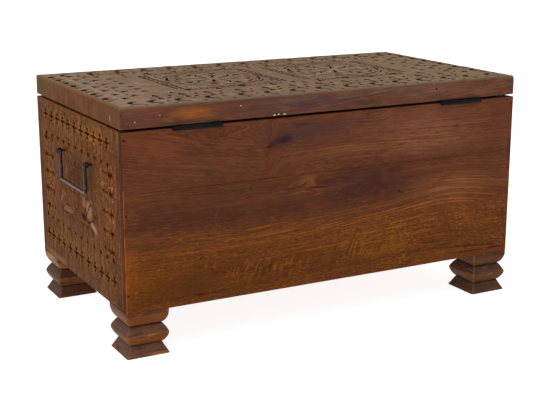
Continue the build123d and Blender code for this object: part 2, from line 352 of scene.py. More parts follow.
    def pit(self, c, r, depth, n=14):
        """A round hole with straight walls, for a nail's head."""
        P, D = [], []
        for k, d in ((r, 0.0), (r - 0.12, depth)):
            for i in range(n):
                a = 2 * math.pi * i / n
                P.append((c[0] + k * math.cos(a), c[1] + k * math.sin(a))); D.append(d)
        P.append(c); D.append(depth)
        T = []
        for i in range(n):
            j = (i + 1) % n
            T += [(i, j, n + i), (j, n + j, n + i), (n + i, n + j, 2 * n)]
        keep, self.tone = self.tone, -1.0
        self.mesh(P, D, T)
        self.tone = keep

    def inside(self, u0, u1, v0, v1, pad=0.0):
        """The cuts that lie in or reach into a rectangle."""
        c = Cuts()
        for P, D, T, tone in self.items:
            lo, hi = P.min(0), P.max(0)
            if hi[0] > u0 - pad and lo[0] < u1 + pad and hi[1] > v0 - pad and lo[1] < v1 + pad:
                c.items.append((P, D, T, tone))
        return c

    def depth(self, Q):
        """The depth of the cuts at points Q, how dark they are there, and how light."""
        d = np.zeros(len(Q))
        dark = np.zeros(len(Q))
        lite = np.zeros(len(Q))
        order = np.argsort(Q[:, 0], kind="stable")
        su = Q[order, 0]
        for P, D, T, tone in self.items:
            lo, hi = P.min(0) - 1e-3, P.max(0) + 1e-3
            a, b = np.searchsorted(su, lo[0]), np.searchsorted(su, hi[0])
            idx = order[a:b]
            idx = idx[(Q[idx, 1] > lo[1]) & (Q[idx, 1] < hi[1])]
            if not len(idx):
                continue
            q = Q[idx]
            for t in T:
                A, B, C = P[t[0]], P[t[1]], P[t[2]]
                den = (B[1] - C[1]) * (A[0] - C[0]) + (C[0] - B[0]) * (A[1] - C[1])
                if abs(den) < 1e-9:
                    continue
                l0 = ((B[1] - C[1]) * (q[:, 0] - C[0]) + (C[0] - B[0]) * (q[:, 1] - C[1])) / den
                l1 = ((C[1] - A[1]) * (q[:, 0] - C[0]) + (A[0] - C[0]) * (q[:, 1] - C[1])) / den
                l2 = 1 - l0 - l1
                ok = (l0 > -1e-4) & (l1 > -1e-4) & (l2 > -1e-4)
                if ok.any():
                    z = l0 * D[t[0]] + l1 * D[t[1]] + l2 * D[t[2]]
                    i2 = idx[ok]
                    d[i2] = np.maximum(d[i2], z[ok])
                    dark[i2] = np.maximum(dark[i2], np.clip((1 - tone) * np.clip(z[ok] / 2.2, 0, 1), 0, 1))
                    lite[i2] = np.maximum(lite[i2], (0.7 if tone == 0 else max(tone, 0.0)) * np.ones(len(i2)))
        return d, dark, lite


def triangulate(u0, u1, v0, v1, cuts, step=14.0, rows=(), lines=(), relief=None, pads=(1, 1, 1, 1)):
    """Triangles over a rectangle that follow every cut. rows are distances from the sides that get their own rows of points, lines are
    more edges, relief is (ru0, ru1, rv0, rv1, pitch): a field of close points. Returns points and triangles."""
    pts, edges = [], []

    def chain(seq, closed=False):
        k = len(pts)
        pts.extend(seq)
        for i in range(len(seq) - 1):
            edges.append((k + i, k + i + 1))
        if closed:
            edges.append((k + len(seq) - 1, k))

    nu, nv = max(2, round((u1 - u0) / step)), max(2, round((v1 - v0) / step))
    us = [u0 + (u1 - u0) * i / nu for i in range(nu + 1)]
    vs = [v0 + (v1 - v0) * i / nv for i in range(nv + 1)]
    chain([(u, v0) for u in us[:-1]] + [(u1, v) for v in vs[:-1]] + [(u, v1) for u in reversed(us[1:])] + [(u0, v) for v in reversed(vs[1:])], True)
    rws = [r for r in rows]
    for r in rws:
        if pads[0]:
            chain([(u0 + r, v) for v in vs])
        if pads[1]:
            chain([(u1 - r, v) for v in vs])
        if pads[2]:
            chain([(u, v0 + r) for u in us])
        if pads[3]:
            chain([(u, v1 - r) for u in us])
    for l in lines:
        chain(l)
    big = max(rws) if rws else 0
    for i in range(1, nu):
        for j in range(1, nv):
            u, v = us[i] + 3 * rnd(i, j, 1), vs[j] + 3 * rnd(i, j, 2)
            if relief and relief[0] - 3 < u < relief[1] + 3 and relief[2] - 3 < v < relief[3] + 3:
                continue
            if u - u0 < big + 2 or u1 - u < big + 2 or v - v0 < big + 2 or v1 - v < big + 2:
                continue
            pts.append((u, v))
    if relief:
        a, b, c, d, p = relief
        n, m = round((b - a) / p), round((d - c) / p)
        ru = [a + (b - a) * i / n for i in range(n + 1)]
        rv = [c + (d - c) * i / m for i in range(m + 1)]
        chain([(u, c) for u in ru[:-1]] + [(b, v) for v in rv[:-1]] + [(u, d) for u in reversed(ru[1:])] + [(a, v) for v in reversed(rv[1:])], True)
        for u in ru[1:-1]:
            for v in rv[1:-1]:
                pts.append((u, v))
    for x, y in cuts.lips:
        if u0 + big + 1 < x < u1 - big - 1 and v0 + big + 1 < y < v1 - big - 1:
            if not (relief and relief[0] - 1 < x < relief[1] + 1 and relief[2] - 1 < y < relief[3] + 1):
                pts.append((x, y))
    for P, D, T, tone in cuts.items:
        k = len(pts)
        pts.extend([(min(max(x, u0), u1), min(max(y, v0), v1)) for x, y in P])
        seen = set()
        for t in T:
            for a, b in ((t[0], t[1]), (t[1], t[2]), (t[2], t[0])):
                e = (min(a, b), max(a, b))
                if e not in seen:
                    seen.add(e)
                    edges.append((k + e[0], k + e[1]))
    r = geometry.delaunay_2d_cdt([Vector(p) for p in pts], edges, [], 0, 1e-4, False)
    Q = np.array([(v[0], v[1]) for v in r[0]], float)
    T = [tuple(f) for f in r[2]]
    # keep the border exactly on the rectangle
    for k, (a, b) in ((0, (u0, u1)), (1, (v0, v1))):
        Q[np.abs(Q[:, k] - a) < 2e-3, k] = a
        Q[np.abs(Q[:, k] - b) < 2e-3, k] = b
    A, B, C = (Q[[t[i] for t in T]] for i in range(3))
    area = (B[:, 0] - A[:, 0]) * (C[:, 1] - A[:, 1]) - (B[:, 1] - A[:, 1]) * (C[:, 0] - A[:, 0])
    T = [t if s > 0 else (t[0], t[2], t[1]) for t, s in zip(T, area) if abs(s) > 1e-9]
    return Q, T


def border(Q, T, u0, u1, v0, v1):
    """The rectangle's border vertices in counter-clockwise order, each with its side and its place along it."""
    eps = 1e-6
    loops = {0: [], 1: [], 2: [], 3: []}
    used = set(i for t in T for i in t)
    for i in used:
        u, v = Q[i]
        if abs(v - v0) < eps and u < u1 - eps:
            loops[0].append((u - u0, i))
        elif abs(u - u1) < eps and v < v1 - eps:
            loops[1].append((v - v0, i))
        elif abs(v - v1) < eps and u > u0 + eps:
            loops[2].append((u1 - u, i))
        elif abs(u - u0) < eps and v > v0 + eps:
            loops[3].append((v1 - v, i))
    out = []
    for s in range(4):
        length = (u1 - u0) if s % 2 == 0 else (v1 - v0)
        for t, i in sorted(loops[s]):
            out.append((i, s, t / length))
    return out


def rounding(Q, w, wear_and_highlight, u0, u1, v0, v1, rad, vary=0.35, seed=0, bottom=None):
    """Rounds the face's four edges: rad is (left, right, bottom, top). Moves Q and w, and fills wear."""
    for i in range(len(Q)):
        u, v = Q[i]
        el, er, eb, et = u - u0, u1 - u, v - v0, v1 - v
        ru, eu, su = (rad[0], el, 1) if el < er else (rad[1], er, -1)
        rv, ev, sv = (rad[2], eb, 1) if eb < et else (rad[3], et, -1)
        if bottom and eb < bottom[0]:
            w[i] -= bottom[1] * (1 - eb / bottom[0]) ** 2
        if eu > ru * 1.6 and ev > rv * 1.6:
            continue
        ru *= 1 + vary * rnd(v / 38.0, seed + su, 5)
        rv *= 1 + vary * rnd(u / 45.0, seed + sv, 7)
        a, b = max(0.0, 1 - eu / ru), max(0.0, 1 - ev / rv)
        q = math.hypot(a, b)
        if q <= 0:
            continue
        rm = (ru * a * a + rv * b * b) / (a * a + b * b)
        if q > 1:
            a2, b2 = a / q, b / q
            if a > 0:
                u = (u0 + ru * (1 - a2)) if su > 0 else (u1 - ru * (1 - a2))
            if b > 0:
                v = (v0 + rv * (1 - b2)) if sv > 0 else (v1 - rv * (1 - b2))
            Q[i] = (u, v)
            q = 1.0
        w[i] -= rm * (1 - math.sqrt(max(0.0, 1 - q * q)))
        wear_and_highlight[i] = max(wear_and_highlight[i], q)


class Build:
    """Collects the vertices and faces of one mesh, in the case's millimetres."""
    def __init__(self):
        self.v, self.f, self.mat, self.cut, self.wear_and_highlight = [], [], [], [], []

    def vert(self, p, cut=0.0, wear_and_highlight=0.0):
        self.v.append(p); self.cut.append(cut); self.wear_and_highlight.append(wear_and_highlight)
        return len(self.v) - 1

    def face(self, idx, mat=0):
        self.f.append(tuple(idx)); self.mat.append(mat)

    def make(self, name, mats, body, replaces, angle=22.0):
        me = bpy.data.meshes.new(name)
        me.from_pydata([(x / 1000, y / 1000 + CY, z / 1000) for x, y, z in self.v], [], self.f)
        for m in mats:
            me.materials.append(m)
        me.polygons.foreach_set("material_index", self.mat)
        for key, vals in (("cut", self.cut), ("wear_and_highlight", self.wear_and_highlight)):
            a = me.attributes.new(key, "FLOAT", "POINT")
            a.data.foreach_set("value", vals)
        me.polygons.foreach_set("use_smooth", [True] * len(me.polygons))
        me.set_sharp_from_angle(angle=math.radians(angle))
        me.validate()
        me.update()
        o = bpy.data.objects.new(name, me)
        bpy.context.scene.collection.objects.link(o)
        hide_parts(*replaces)
        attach(o, body)
        return o


def shell(b, face, Q, w, cut, wear_and_highlight, T, ring, rect, levels):
    """Adds a carved face and the solid behind it. levels are (inset left, right, bottom, top, depth, material)."""
    O, U, V, W = (np.array(x, float) for x in FACES[face])
    u0, u1, v0, v1 = rect
    base = len(b.v)
    P = O + Q[:, :1] * U + Q[:, 1:2] * V + w[:, None] * W
    for i in range(len(Q)):
        b.vert(tuple(P[i]), float(cut[i]), float(wear_and_highlight[i]))
    for t in T:
        b.face([base + i for i in t])
    prev = [base + i for i, s, t in ring]
    for il, ir, ib, it, dep, mat in levels:
        a, c, d, e = u0 + il, u1 - ir, v0 + ib, v1 - it
        cur = []
        for i, s, t in ring:
            if s == 0:
                q = (a + (c - a) * t, d)
            elif s == 1:
                q = (c, d + (e - d) * t)
            elif s == 2:
                q = (c - (c - a) * t, e)
            else:
                q = (a, e - (e - d) * t)
            cur.append(b.vert(tuple(O + q[0] * U + q[1] * V - dep * W), 0.0, 0.6 if dep <= LIP + 0.01 else 0.0))
        n = len(ring)
        for k in range(n):
            j = (k + 1) % n
            b.face([prev[j], prev[k], cur[k], cur[j]], mat)
        prev = cur
    il, ir, ib, it, dep, mat = levels[-1]
    c = O + ((u0 + il + u1 - ir) / 2) * U + ((v0 + ib + v1 - it) / 2) * V - dep * W
    m = b.vert(tuple(c))
    n = len(prev)
    for k in range(n):
        b.face([prev[(k + 1) % n], prev[k], m], mat)


def wave(Q, seed, amp=0.14):
    return np.array([-amp + amp * mnoise.noise(Vector((u / 70.0 + seed, v / 55.0, seed * 1.7))) for u, v in Q])


def board(name, face, rect, cuts, levels, rad, mats, body, replaces, seed=0, step=16.0, rows=(0.4, 1.1, 2.2, 3.8), relief=None, relief_fn=None,
          bottom=None, vary=0.35, amp=0.14, lines=()):
    Q, T = triangulate(*rect, cuts, step=step, rows=rows, relief=relief, lines=lines)
    d, cut, wear_and_highlight = cuts.depth(Q)
    if relief:
        a, c, e, g, p = relief
        ins = (Q[:, 0] >= a - 1e-6) & (Q[:, 0] <= c + 1e-6) & (Q[:, 1] >= e - 1e-6) & (Q[:, 1] <= g + 1e-6)
        d[ins], cut[ins], wear_and_highlight[ins] = relief_fn(Q[ins])
    ring = border(Q, T, *rect)
    w = wave(Q, seed, amp) - d
    rounding(Q, w, wear_and_highlight, *rect, rad, vary=vary, seed=seed, bottom=bottom)
    b = Build()
    shell(b, face, Q, w, cut, wear_and_highlight, T, ring, rect, levels)
    return b.make(name, mats, body, replaces)


# ------------------------------------------------------------------ finishes
def knot_warp(t, u, v, cu, cv, s, amp):
    """Bends the grain lines round a knot."""
    k = t.blob(u, v, cu, cv, s * 2.6, s)
    return t.mul(k, t.m("SIGN", t.m("SUBTRACT", v, cv)), amp)


def wood(name, along="X", across="Z", tone=(1, 1, 1), warp=None, zones=None, rough=0.45, dust_and_sheen=0.0, cutdark=0.9, knots=(), gloss=0.12, fine=1.0, seed=0.0,
         wear_and_highlight_col=(170, 104, 52), wear_and_highlight_amt=0.5, dark=(58, 31, 23), mid=(101, 57, 36), light=(148, 90, 50), contrast=1.0, streak=1.0, pale_specks=0.0,
         grain_bump=0.25, line_freq=1.0, cutcol=(30, 15, 9), cutfull=0.42, wob=(40.0, 6.0)):
    t = Tree(name)
    P = t.obj()
    x, y, z = t.xyz(P)
    ax = {"X": x, "Y": y, "Z": z}
    rest = [k for k in "XYZ" if k not in (along, across)][0]
    u, v, w = ax[along], ax[across], ax[rest]
    if seed:
        w = t.add(w, seed * 137.0)
    big = t.noise(t.vec(t.mul(u, 1 / 420.0), t.mul(v, 1 / 130.0), t.mul(w, 1 / 160.0)), detail=2.0)
    small = t.noise(t.vec(t.mul(u, 1 / 95.0), t.mul(v, 1 / 26.0), t.mul(w, 1 / 60.0)), detail=2.0)
    r = t.add(v, t.mul(t.m("SUBTRACT", big, 0.5), wob[0]), t.mul(t.m("SUBTRACT", small, 0.5), wob[1]))
    if warp:
        r = t.add(r, warp(t, u, v))
    for cu, cv, s, amp in knots:
        r = t.add(r, knot_warp(t, u, v, cu, cv, s, amp))
    # growth bands, streaks and fine lines, all along the bent coordinate
    bands = t.noise(t.vec(t.mul(u, 1 / 700.0), t.mul(r, line_freq / 24.0), t.mul(w, 1 / 60.0)), detail=3.0, rough=0.6)
    streaks = t.noise(t.vec(t.mul(u, 1 / 150.0), t.mul(r, line_freq / 4.6), t.mul(w, 1 / 14.0)), detail=3.0, rough=0.65)
    fines = t.noise(t.vec(t.mul(u, 1 / 42.0), t.mul(r, line_freq / 1.5), t.mul(w, 1 / 5.0)), detail=2.0, rough=0.6)
    flecks = t.noise(t.vec(t.mul(u, 1 / 13.0), t.mul(r, 1 / 1.1), t.mul(w, 1 / 3.0)), detail=2.0, rough=0.6)
    pores = t.noise(t.vec(t.mul(u, 1 / 7.0), t.mul(r, 1 / 0.42), t.mul(w, 1 / 0.6)), detail=1.0)
    f = t.add(t.mul(t.m("SUBTRACT", bands, 0.5), 0.75 * contrast), t.mul(t.m("SUBTRACT", streaks, 0.5), 0.55 * contrast * streak),
              t.mul(t.m("SUBTRACT", fines, 0.5), 0.45 * contrast * fine), t.mul(t.m("SUBTRACT", flecks, 0.5), 0.35 * contrast * fine), 0.5)
    col = t.ramp(f, [(0.12, srgb(*dark)), (0.50, srgb(*mid)), (0.88, srgb(*light))])
    col = t.mix(t.mul(t.mr(fines, 0.58, 0.70), 0.22 * fine), col, srgb(166, 104, 54))
    col = t.mix(t.mul(t.mr(streaks, 0.40, 0.28), 0.25 * streak), col, srgb(46, 24, 19))
    col = t.mix(t.mul(t.mr(pores, 0.62, 0.70), 0.35 * fine), col, srgb(34, 18, 13))
    ctx = {"t": t, "u": u, "v": v, "w": w, "r": r, "big": big, "small": small, "bands": bands, "streaks": streaks, "fines": fines, "flecks": flecks}
    if zones:
        col = zones(ctx, col)
    # blotches of the stain
    blot = t.noise(t.vec(t.mul(x, 1 / 60.0), t.mul(y, 1 / 60.0), t.mul(z, 1 / 60.0)), detail=3.0, rough=0.55)
    col = t.mix(t.mr(blot, 0.35, 0.68, 0.0, 0.30), col, t.mix(0.5, col, srgb(58, 34, 26)))
    cut = t.attr("cut")
    wear_and_highlight = t.attr("wear_and_highlight")
    wn = t.noise(t.vec(t.mul(x, 1 / 22.0), t.mul(y, 1 / 22.0), t.mul(z, 1 / 22.0)), detail=4.0, rough=0.7)
    if pale_specks:
        vs = t.voronoi(t.vec(t.mul(x, 1 / 17.0), t.mul(y, 1 / 17.0), t.mul(z, 1 / 17.0)))
        pick = t.noise(t.vec(t.mul(x, 1 / 55.0), t.mul(y, 1 / 55.0), t.mul(z, 1 / 55.0)), detail=1.0)
        sp = t.mul(t.mr(vs, 0.10, 0.06), t.mr(pick, 0.62, 0.68))
        col = t.mix(t.mul(sp, pale_specks), col, srgb(214, 170, 128))
    # grey dusty colour with painted sheen over it, less in the cuts
    if dust_and_sheen:
        dn = t.noise(t.vec(t.mul(x, 1 / 45.0), t.mul(y, 1 / 45.0), t.mul(z, 1 / 45.0)), detail=4.0, rough=0.6)
        col = t.mix(t.mul(t.mr(dn, 0.2, 0.8, 0.6, 1.0), t.mr(cut, 0.0, 0.35, dust_and_sheen, dust_and_sheen * 0.35)), col, srgb(140, 122, 104))
    # worn edges, and painted highlights on the raised carving, are mixed towards the pale edge colour
    col = t.mix(t.mul(t.mr(wear_and_highlight, 0.25, 1.0), t.mr(wn, 0.36, 0.62, 0.25, 1.0), wear_and_highlight_amt), col, srgb(*wear_and_highlight_col))
    # the cuts are darkened: dark wax in them, deepened with painted shade
    col = t.mix(t.mul(t.mr(cut, 0.0, cutfull), cutdark), col, srgb(*cutcol))
    if tone != (1, 1, 1):
        col = t.mix(1.0, col, (tone[0], tone[1], tone[2], 1.0), "MULTIPLY")
    t.put(t.b.inputs["Base Color"], col)
    ro = t.add(rough, t.mul(t.m("SUBTRACT", blot, 0.5), 0.22), t.mul(t.m("SUBTRACT", fines, 0.5), 0.12), t.mul(cut, 0.25), t.mul(wear_and_highlight, 0.25), t.mul(dust_and_sheen, 0.12))
    t.put(t.b.inputs["Roughness"], t.m("MINIMUM", t.m("MAXIMUM", ro, 0.22), 0.9))
    t.b.inputs["Specular IOR Level"].default_value = gloss
    h = t.add(t.mul(fines, 0.5), t.mul(streaks, 0.35), t.mul(t.mr(pores, 0.60, 0.70), -0.8), t.mul(wn, 0.25))
    t.put(t.b.inputs["Normal"], t.bump(h, strength=grain_bump, distance=0.0006))
    return t.mat


def iron(name, col=(24, 24, 30), rust=(58, 34, 26), rough=0.42, rustamt=0.25, metallic=0.7, bump=0.4, spec=0.5):
    t = Tree(name)
    P = t.obj()
    n1 = t.noise(t.vm("SCALE", P, scale=1 / 9.0), detail=4.0, rough=0.6)
    n2 = t.noise(t.vm("SCALE", P, scale=1 / 2.2), detail=3.0, rough=0.6)
    n3 = t.noise(t.vm("SCALE", P, scale=1 / 26.0), detail=2.0)
    c = t.ramp(n1, [(0.34, srgb(*[k * 0.6 for k in col])), (0.5, srgb(*col)), (0.68, srgb(*[k * 1.8 for k in col]))])
    c = t.mix(t.mul(t.mr(t.add(t.mul(n2, 0.5), t.mul(n3, 0.5)), 0.5, 0.64), rustamt), c, srgb(*rust))
    t.put(t.b.inputs["Base Color"], c)
    t.b.inputs["Metallic"].default_value = metallic
    t.b.inputs["Specular IOR Level"].default_value = spec
    t.put(t.b.inputs["Roughness"], t.add(rough, t.mul(t.m("SUBTRACT", n1, 0.5), 0.35), t.mul(t.m("SUBTRACT", n2, 0.5), 0.15)))
    t.put(t.b.inputs["Normal"], t.bump(t.add(n1, t.mul(n2, 0.35)), strength=bump, distance=0.0009))
    return t.mat


def plain_wood(name, along="Y", across="X", dark=(70, 48, 34), mid=(112, 82, 58), light=(146, 114, 84), rough=0.72):
    """Bare, dry wood of the inside."""
    return wood(name, along, across, dark=dark, mid=mid, light=light, rough=rough, gloss=0.1, wear_and_highlight_amt=0.25, wear_and_highlight_col=(160, 126, 92), cutdark=0.6, streak=0.55, contrast=0.8,
                grain_bump=0.4)


# the grain of the back: iso lines follow v + warp
def back_warp(t, u, v):
    # +X is on the left of the back. The lower board's lines climb gently to an arch near X = -285 and fall away from it.
    low = t.mr(v, 326.0, 314.0)
    w = t.mul(t.blob(u, v, -240.0, 205.0, 430.0, 170.0), low, -17.0)
    w = t.add(w, t.mul(t.blob(u, v, -290.0, 250.0, 210.0, 100.0), low, -19.0))
    w = t.add(w, t.mul(t.blob(u, v, 250.0, 230.0, 330.0, 90.0), low, 9.0))
    # on the upper board they fall from the far end towards the knot, and break there
    up = t.mr(v, 318.0, 332.0)
    w = t.add(w, t.mul(t.mr(u, 450.0, 165.0, smooth=False), t.mr(u, 118.0, 150.0), up, t.mr(v, 432.0, 405.0, 0.35, 1.0), 44.0))
    w = t.add(w, t.mul(t.blob(u, v, -60.0, 352.0, 260.0, 60.0), up, -9.0))
    return w


def back_zones(c, col):
    t, u, v = c["t"], c["u"], c["v"]
    fray = t.mul(t.m("SUBTRACT", t.noise(t.vec(t.mul(u, 1 / 70.0), t.mul(c["r"], 1 / 18.0), 0.0), detail=3.0, rough=0.6), 0.5), 1.1)
    fray2 = t.mul(t.m("SUBTRACT", t.noise(t.vec(t.mul(u, 1 / 20.0), t.mul(v, 1 / 11.0), 3.3), detail=3.0, rough=0.6), 0.5), 1.2)

    def zone(col, cu, cv, su, sv, rgb, k, edge=0.0, rot=0.0, wob=fray, blend="MIX"):
        b = t.blob(u, v, cu, cv, su, sv, edge, rot, wob)
        return t.mix(t.mul(b, k), col, srgb(*rgb), blend)

    # the upper board is redder, and paler under the far hinge
    up = t.mr(v, 318.0, 326.0)
    col = t.mix(t.mul(up, 0.30), col, srgb(106, 62, 46))
    col = zone(col, -210, 395, 270, 62, (138, 86, 66), 0.55)
    col = zone(col, -250, 352, 190, 34, (142, 92, 62), 0.40)
    col = zone(col, 380, 405, 110, 44, (128, 70, 44), 0.55)
    col = zone(col, 300, 350, 180, 34, (100, 60, 38), 0.45)
    col = zone(col, 60, 400, 120, 36, (92, 56, 50), 0.55)
    col = zone(col, -420, 385, 60, 60, (112, 62, 44), 0.45)
    col = zone(col, -40, 360, 150, 16, (128, 82, 46), 0.40)
    # a purple heart runs through the middle
    col = zone(col, -92, 284, 190, 56, (72, 42, 38), 0.85)
    col = zone(col, -60, 255, 260, 60, (82, 46, 36), 0.55)
    col = zone(col, 340, 262, 210, 40, (74, 42, 34), 0.70)
    col = zone(col, 150, 256, 180, 50, (84, 48, 36), 0.55)
    col = zone(col, 250, 300, 190, 26, (98, 60, 36), 0.55)
    # warm orange wood low down
    col = zone(col, 60, 186, 560, 54, (118, 68, 34), 0.45)
    col = zone(col, 385, 146, 120, 56, (128, 76, 28), 0.70)
    col = zone(col, 445, 168, 34, 84, (150, 84, 24), 0.65)
    col = zone(col, 250, 118, 120, 18, (112, 72, 30), 0.55)
    col = zone(col, -124, 140, 120, 26, (138, 88, 36), 0.60)
    col = zone(col, -100, 176, 190, 28, (112, 68, 34), 0.45)
    col = zone(col, -290, 252, 170, 54, (130, 80, 52), 0.60)
    col = zone(col, -345, 180, 130, 50, (118, 70, 42), 0.50)
    # golden lines over the sweep: long, thin and nearly level, each fading in and out along its length
    hair = t.noise(t.vec(t.mul(u, 1 / 620.0), t.mul(c["r"], 1 / 3.4), 2.0), detail=2.0, rough=0.55)
    hair2 = t.noise(t.vec(t.mul(u, 1 / 380.0), t.mul(c["r"], 1 / 2.3), 5.0), detail=1.0)
    fade = t.mr(t.noise(t.vec(t.mul(u, 1 / 60.0), t.mul(c["r"], 1 / 6.0), 9.0), detail=3.0, rough=0.6), 0.38, 0.60, 0.15, 1.0)
    thin = t.mul(t.m("MAXIMUM", t.mr(hair, 0.54, 0.64), t.mul(t.mr(hair2, 0.56, 0.66), 0.8)), fade)
    for cu, cv, su, sv, k, rgb in ((-100, 214, 360, 36, 0.85, (186, 118, 54)), (260, 208, 300, 34, 0.70, (170, 104, 46)), (-300, 245, 190, 56, 0.75, (182, 120, 72)), (-30, 354, 190, 26, 0.60, (164, 106, 60)),
                                   (-250, 372, 210, 52, 0.45, (176, 118, 84)), (330, 362, 150, 46, 0.35, (150, 92, 54)), (-60, 165, 400, 36, 0.60, (172, 108, 44))):
        col = t.mix(t.mul(thin, t.blob(u, v, cu, cv, su, sv, 0.1, 0.0, fray), k), col, srgb(*rgb))
    seam = t.mr(t.noise(t.vec(t.mul(u, 1 / 500.0), t.mul(c["r"], 1 / 3.4), 12.0), detail=1.5), 0.44, 0.34)
    col = t.mix(t.mul(seam, fade, 0.32), col, srgb(58, 32, 24))
    # short flecks, pale and dark, finer than the lines
    f2 = t.noise(t.vec(t.mul(u, 1 / 22.0), t.mul(c["r"], 1 / 2.7), 3.0), detail=3.0, rough=0.68)
    patchy = t.mr(t.noise(t.vec(t.mul(u, 1 / 110.0), t.mul(v, 1 / 50.0), 8.0), detail=2.0), 0.38, 0.62, 0.4, 1.0)
    col = t.mix(t.mul(t.mr(f2, 0.52, 0.68), patchy, 0.34), col, srgb(158, 98, 50))
    col = t.mix(t.mul(t.mr(f2, 0.48, 0.34), patchy, 0.46), col, srgb(48, 26, 19))
    f3 = t.noise(t.vec(t.mul(u, 1 / 9.0), t.mul(v, 1 / 3.4), 6.0), detail=3.0, rough=0.7)
    col = t.mix(t.mul(t.mr(f3, 0.54, 0.70), t.mr(v, 260.0, 190.0), patchy, t.mr(u, 0.0, -200.0, 0.50, 0.70)), col, srgb(194, 120, 48))
    col = t.mix(t.mul(t.mr(f3, 0.46, 0.30), t.mr(v, 270.0, 150.0, 0.35, 1.0), 0.48), col, srgb(48, 26, 14))
    # ripple figure across the grain
    tilt = t.add(u, t.mul(v, 0.42))
    rip = t.noise(t.vec(t.mul(tilt, 1 / 6.4), t.mul(v, 1 / 30.0), 0.7), detail=1.5, rough=0.5)
    zone_r = t.m("MAXIMUM", t.blob(u, v, 150, 140, 150, 36, 0.0, 0.0, fray), t.mul(t.blob(u, v, -60, 150, 150, 36, 0.0, 0.0, fray), 0.8))
    col = t.mix(t.mul(t.mr(rip, 0.52, 0.66), zone_r, 0.55), col, srgb(66, 36, 18))
    col = t.mix(t.mul(t.mr(rip, 0.48, 0.34), zone_r, 0.45), col, srgb(164, 100, 38))
    # knots and dark flecks
    soft = t.mul(fray2, 0.8)
    col = zone(col, 122, 390, 46, 20, (52, 34, 38), 0.75, 0.0, -0.28, soft)
    col = zone(col, 112, 394, 24, 11, (28, 20, 26), 0.95, 0.1, -0.32, t.mul(fray2, 0.6))
    col = zone(col, 146, 383, 17, 6.0, (44, 26, 24), 0.80, 0.1, -0.15, t.mul(fray2, 0.6))
    col = zone(col, 72, 420, 34, 6, (46, 34, 36), 0.75, 0.0, 0.05, t.mul(fray2, 0.6))
    col = zone(col, 152, 345, 11, 34, (112, 46, 28), 0.50, 0.0, 0.06, soft)
    col = zone(col, 60, 308, 28, 13, (150, 88, 46), 0.80, 0.0, -0.25, soft)
    col = zone(col, 48, 301, 13, 8, (158, 92, 48), 0.60, 0.0, 0.9, soft)
    col = zone(col, 66, 301, 14, 3.4, (52, 28, 20), 0.70, 0.1, -0.55, t.mul(fray2, 0.6))
    col = zone(col, 38, 290, 32, 2.8, (38, 22, 20), 0.90, 0.2, 0.03, t.mul(fray2, 0.6))
    col = zone(col, 50, 284, 18, 1.8, (44, 26, 22), 0.70, 0.2, 0.25, t.mul(fray2, 0.6))
    col = zone(col, 22, 300, 36, 12, (60, 36, 32), 0.50)
    col = zone(col, -159, 260, 5, 5, (34, 20, 18), 0.90, 0.2, 0.0, t.mul(fray2, 0.5))
    col = zone(col, -166, 256, 5, 3, (34, 20, 18), 0.75, 0.2, 0.3, t.mul(fray2, 0.5))
    col = zone(col, 296, 107, 15, 3.6, (44, 24, 16), 0.85, 0.2, 0.10, t.mul(fray2, 0.6))
    col = zone(col, 262, 259, 4, 15, (126, 76, 44), 0.55, 0.0, 0.35, soft)
    col = zone(col, 187, 303, 6, 3, (46, 26, 22), 0.60, 0.2, 0.2, soft)
    for cu, cv, su, sv, k in ((-330, 117, 60, 4, 0.75), (-395, 112, 55, 3.4, 0.8), (-420, 104, 44, 5, 0.8), (-350, 104, 70, 4, 0.7), (-280, 128, 40, 2.6, 0.5), (-240, 138, 30, 2.4, 0.45)):
        col = zone(col, cu, cv, su, sv, (52, 30, 32), k, 0.1, 0.04, t.mul(fray2, 0.8))
    # the joint of the two boards
    col = t.mix(t.mul(t.blob(u, v, 250, 320, 230, 1.3, 0.2, 0.0, t.mul(fray2, 0.4)), 0.6), col, srgb(46, 26, 20))
    col = t.mix(t.mul(t.blob(u, v, -150, 320, 320, 1.0, 0.2, 0.0, t.mul(fray2, 0.8)), 0.3), col, srgb(56, 32, 26))
    # yellower low down, greyer in the upper middle
    col = t.mix(t.mr(v, 300.0, 140.0), col, (1.0, 0.93, 0.48, 1.0), "MULTIPLY")
    col = zone(col, 330, 130, 170, 48, (74, 42, 18), 0.55, 0.0)
    col = zone(col, 40, 405, 190, 34, (78, 54, 58), 0.55, 0.0)
    col = zone(col, 250, 290, 260, 90, (66, 38, 30), 0.25, 0.0)
    col = zone(col, -60, 285, 170, 60, (66, 40, 40), 0.30, 0.0)
    col = t.mix(t.mul(t.mr(u, 447.5, 449.6), 0.8), col, srgb(66, 36, 24))
    # the far right edge is dark, with a red patch
    col = zone(col, -449, 320, 13, 50, (58, 34, 26), 0.6, 0.2)
    col = zone(col, -449, 278, 9, 16, (140, 56, 30), 0.5, 0.3)
    # a painted highlight: a bright line along the left corner's rounded edge
    line = t.mul(t.mr(u, 446.0, 447.6), t.mr(u, 449.4, 448.6), t.mr(v, 336.0, 318.0))
    col = t.mix(t.mul(line, t.mr(t.noise(t.vec(0.0, t.mul(v, 1 / 30.0), 0.0)), 0.35, 0.55, 0.3, 1.0), 0.70), col, srgb(172, 98, 42))
    return col


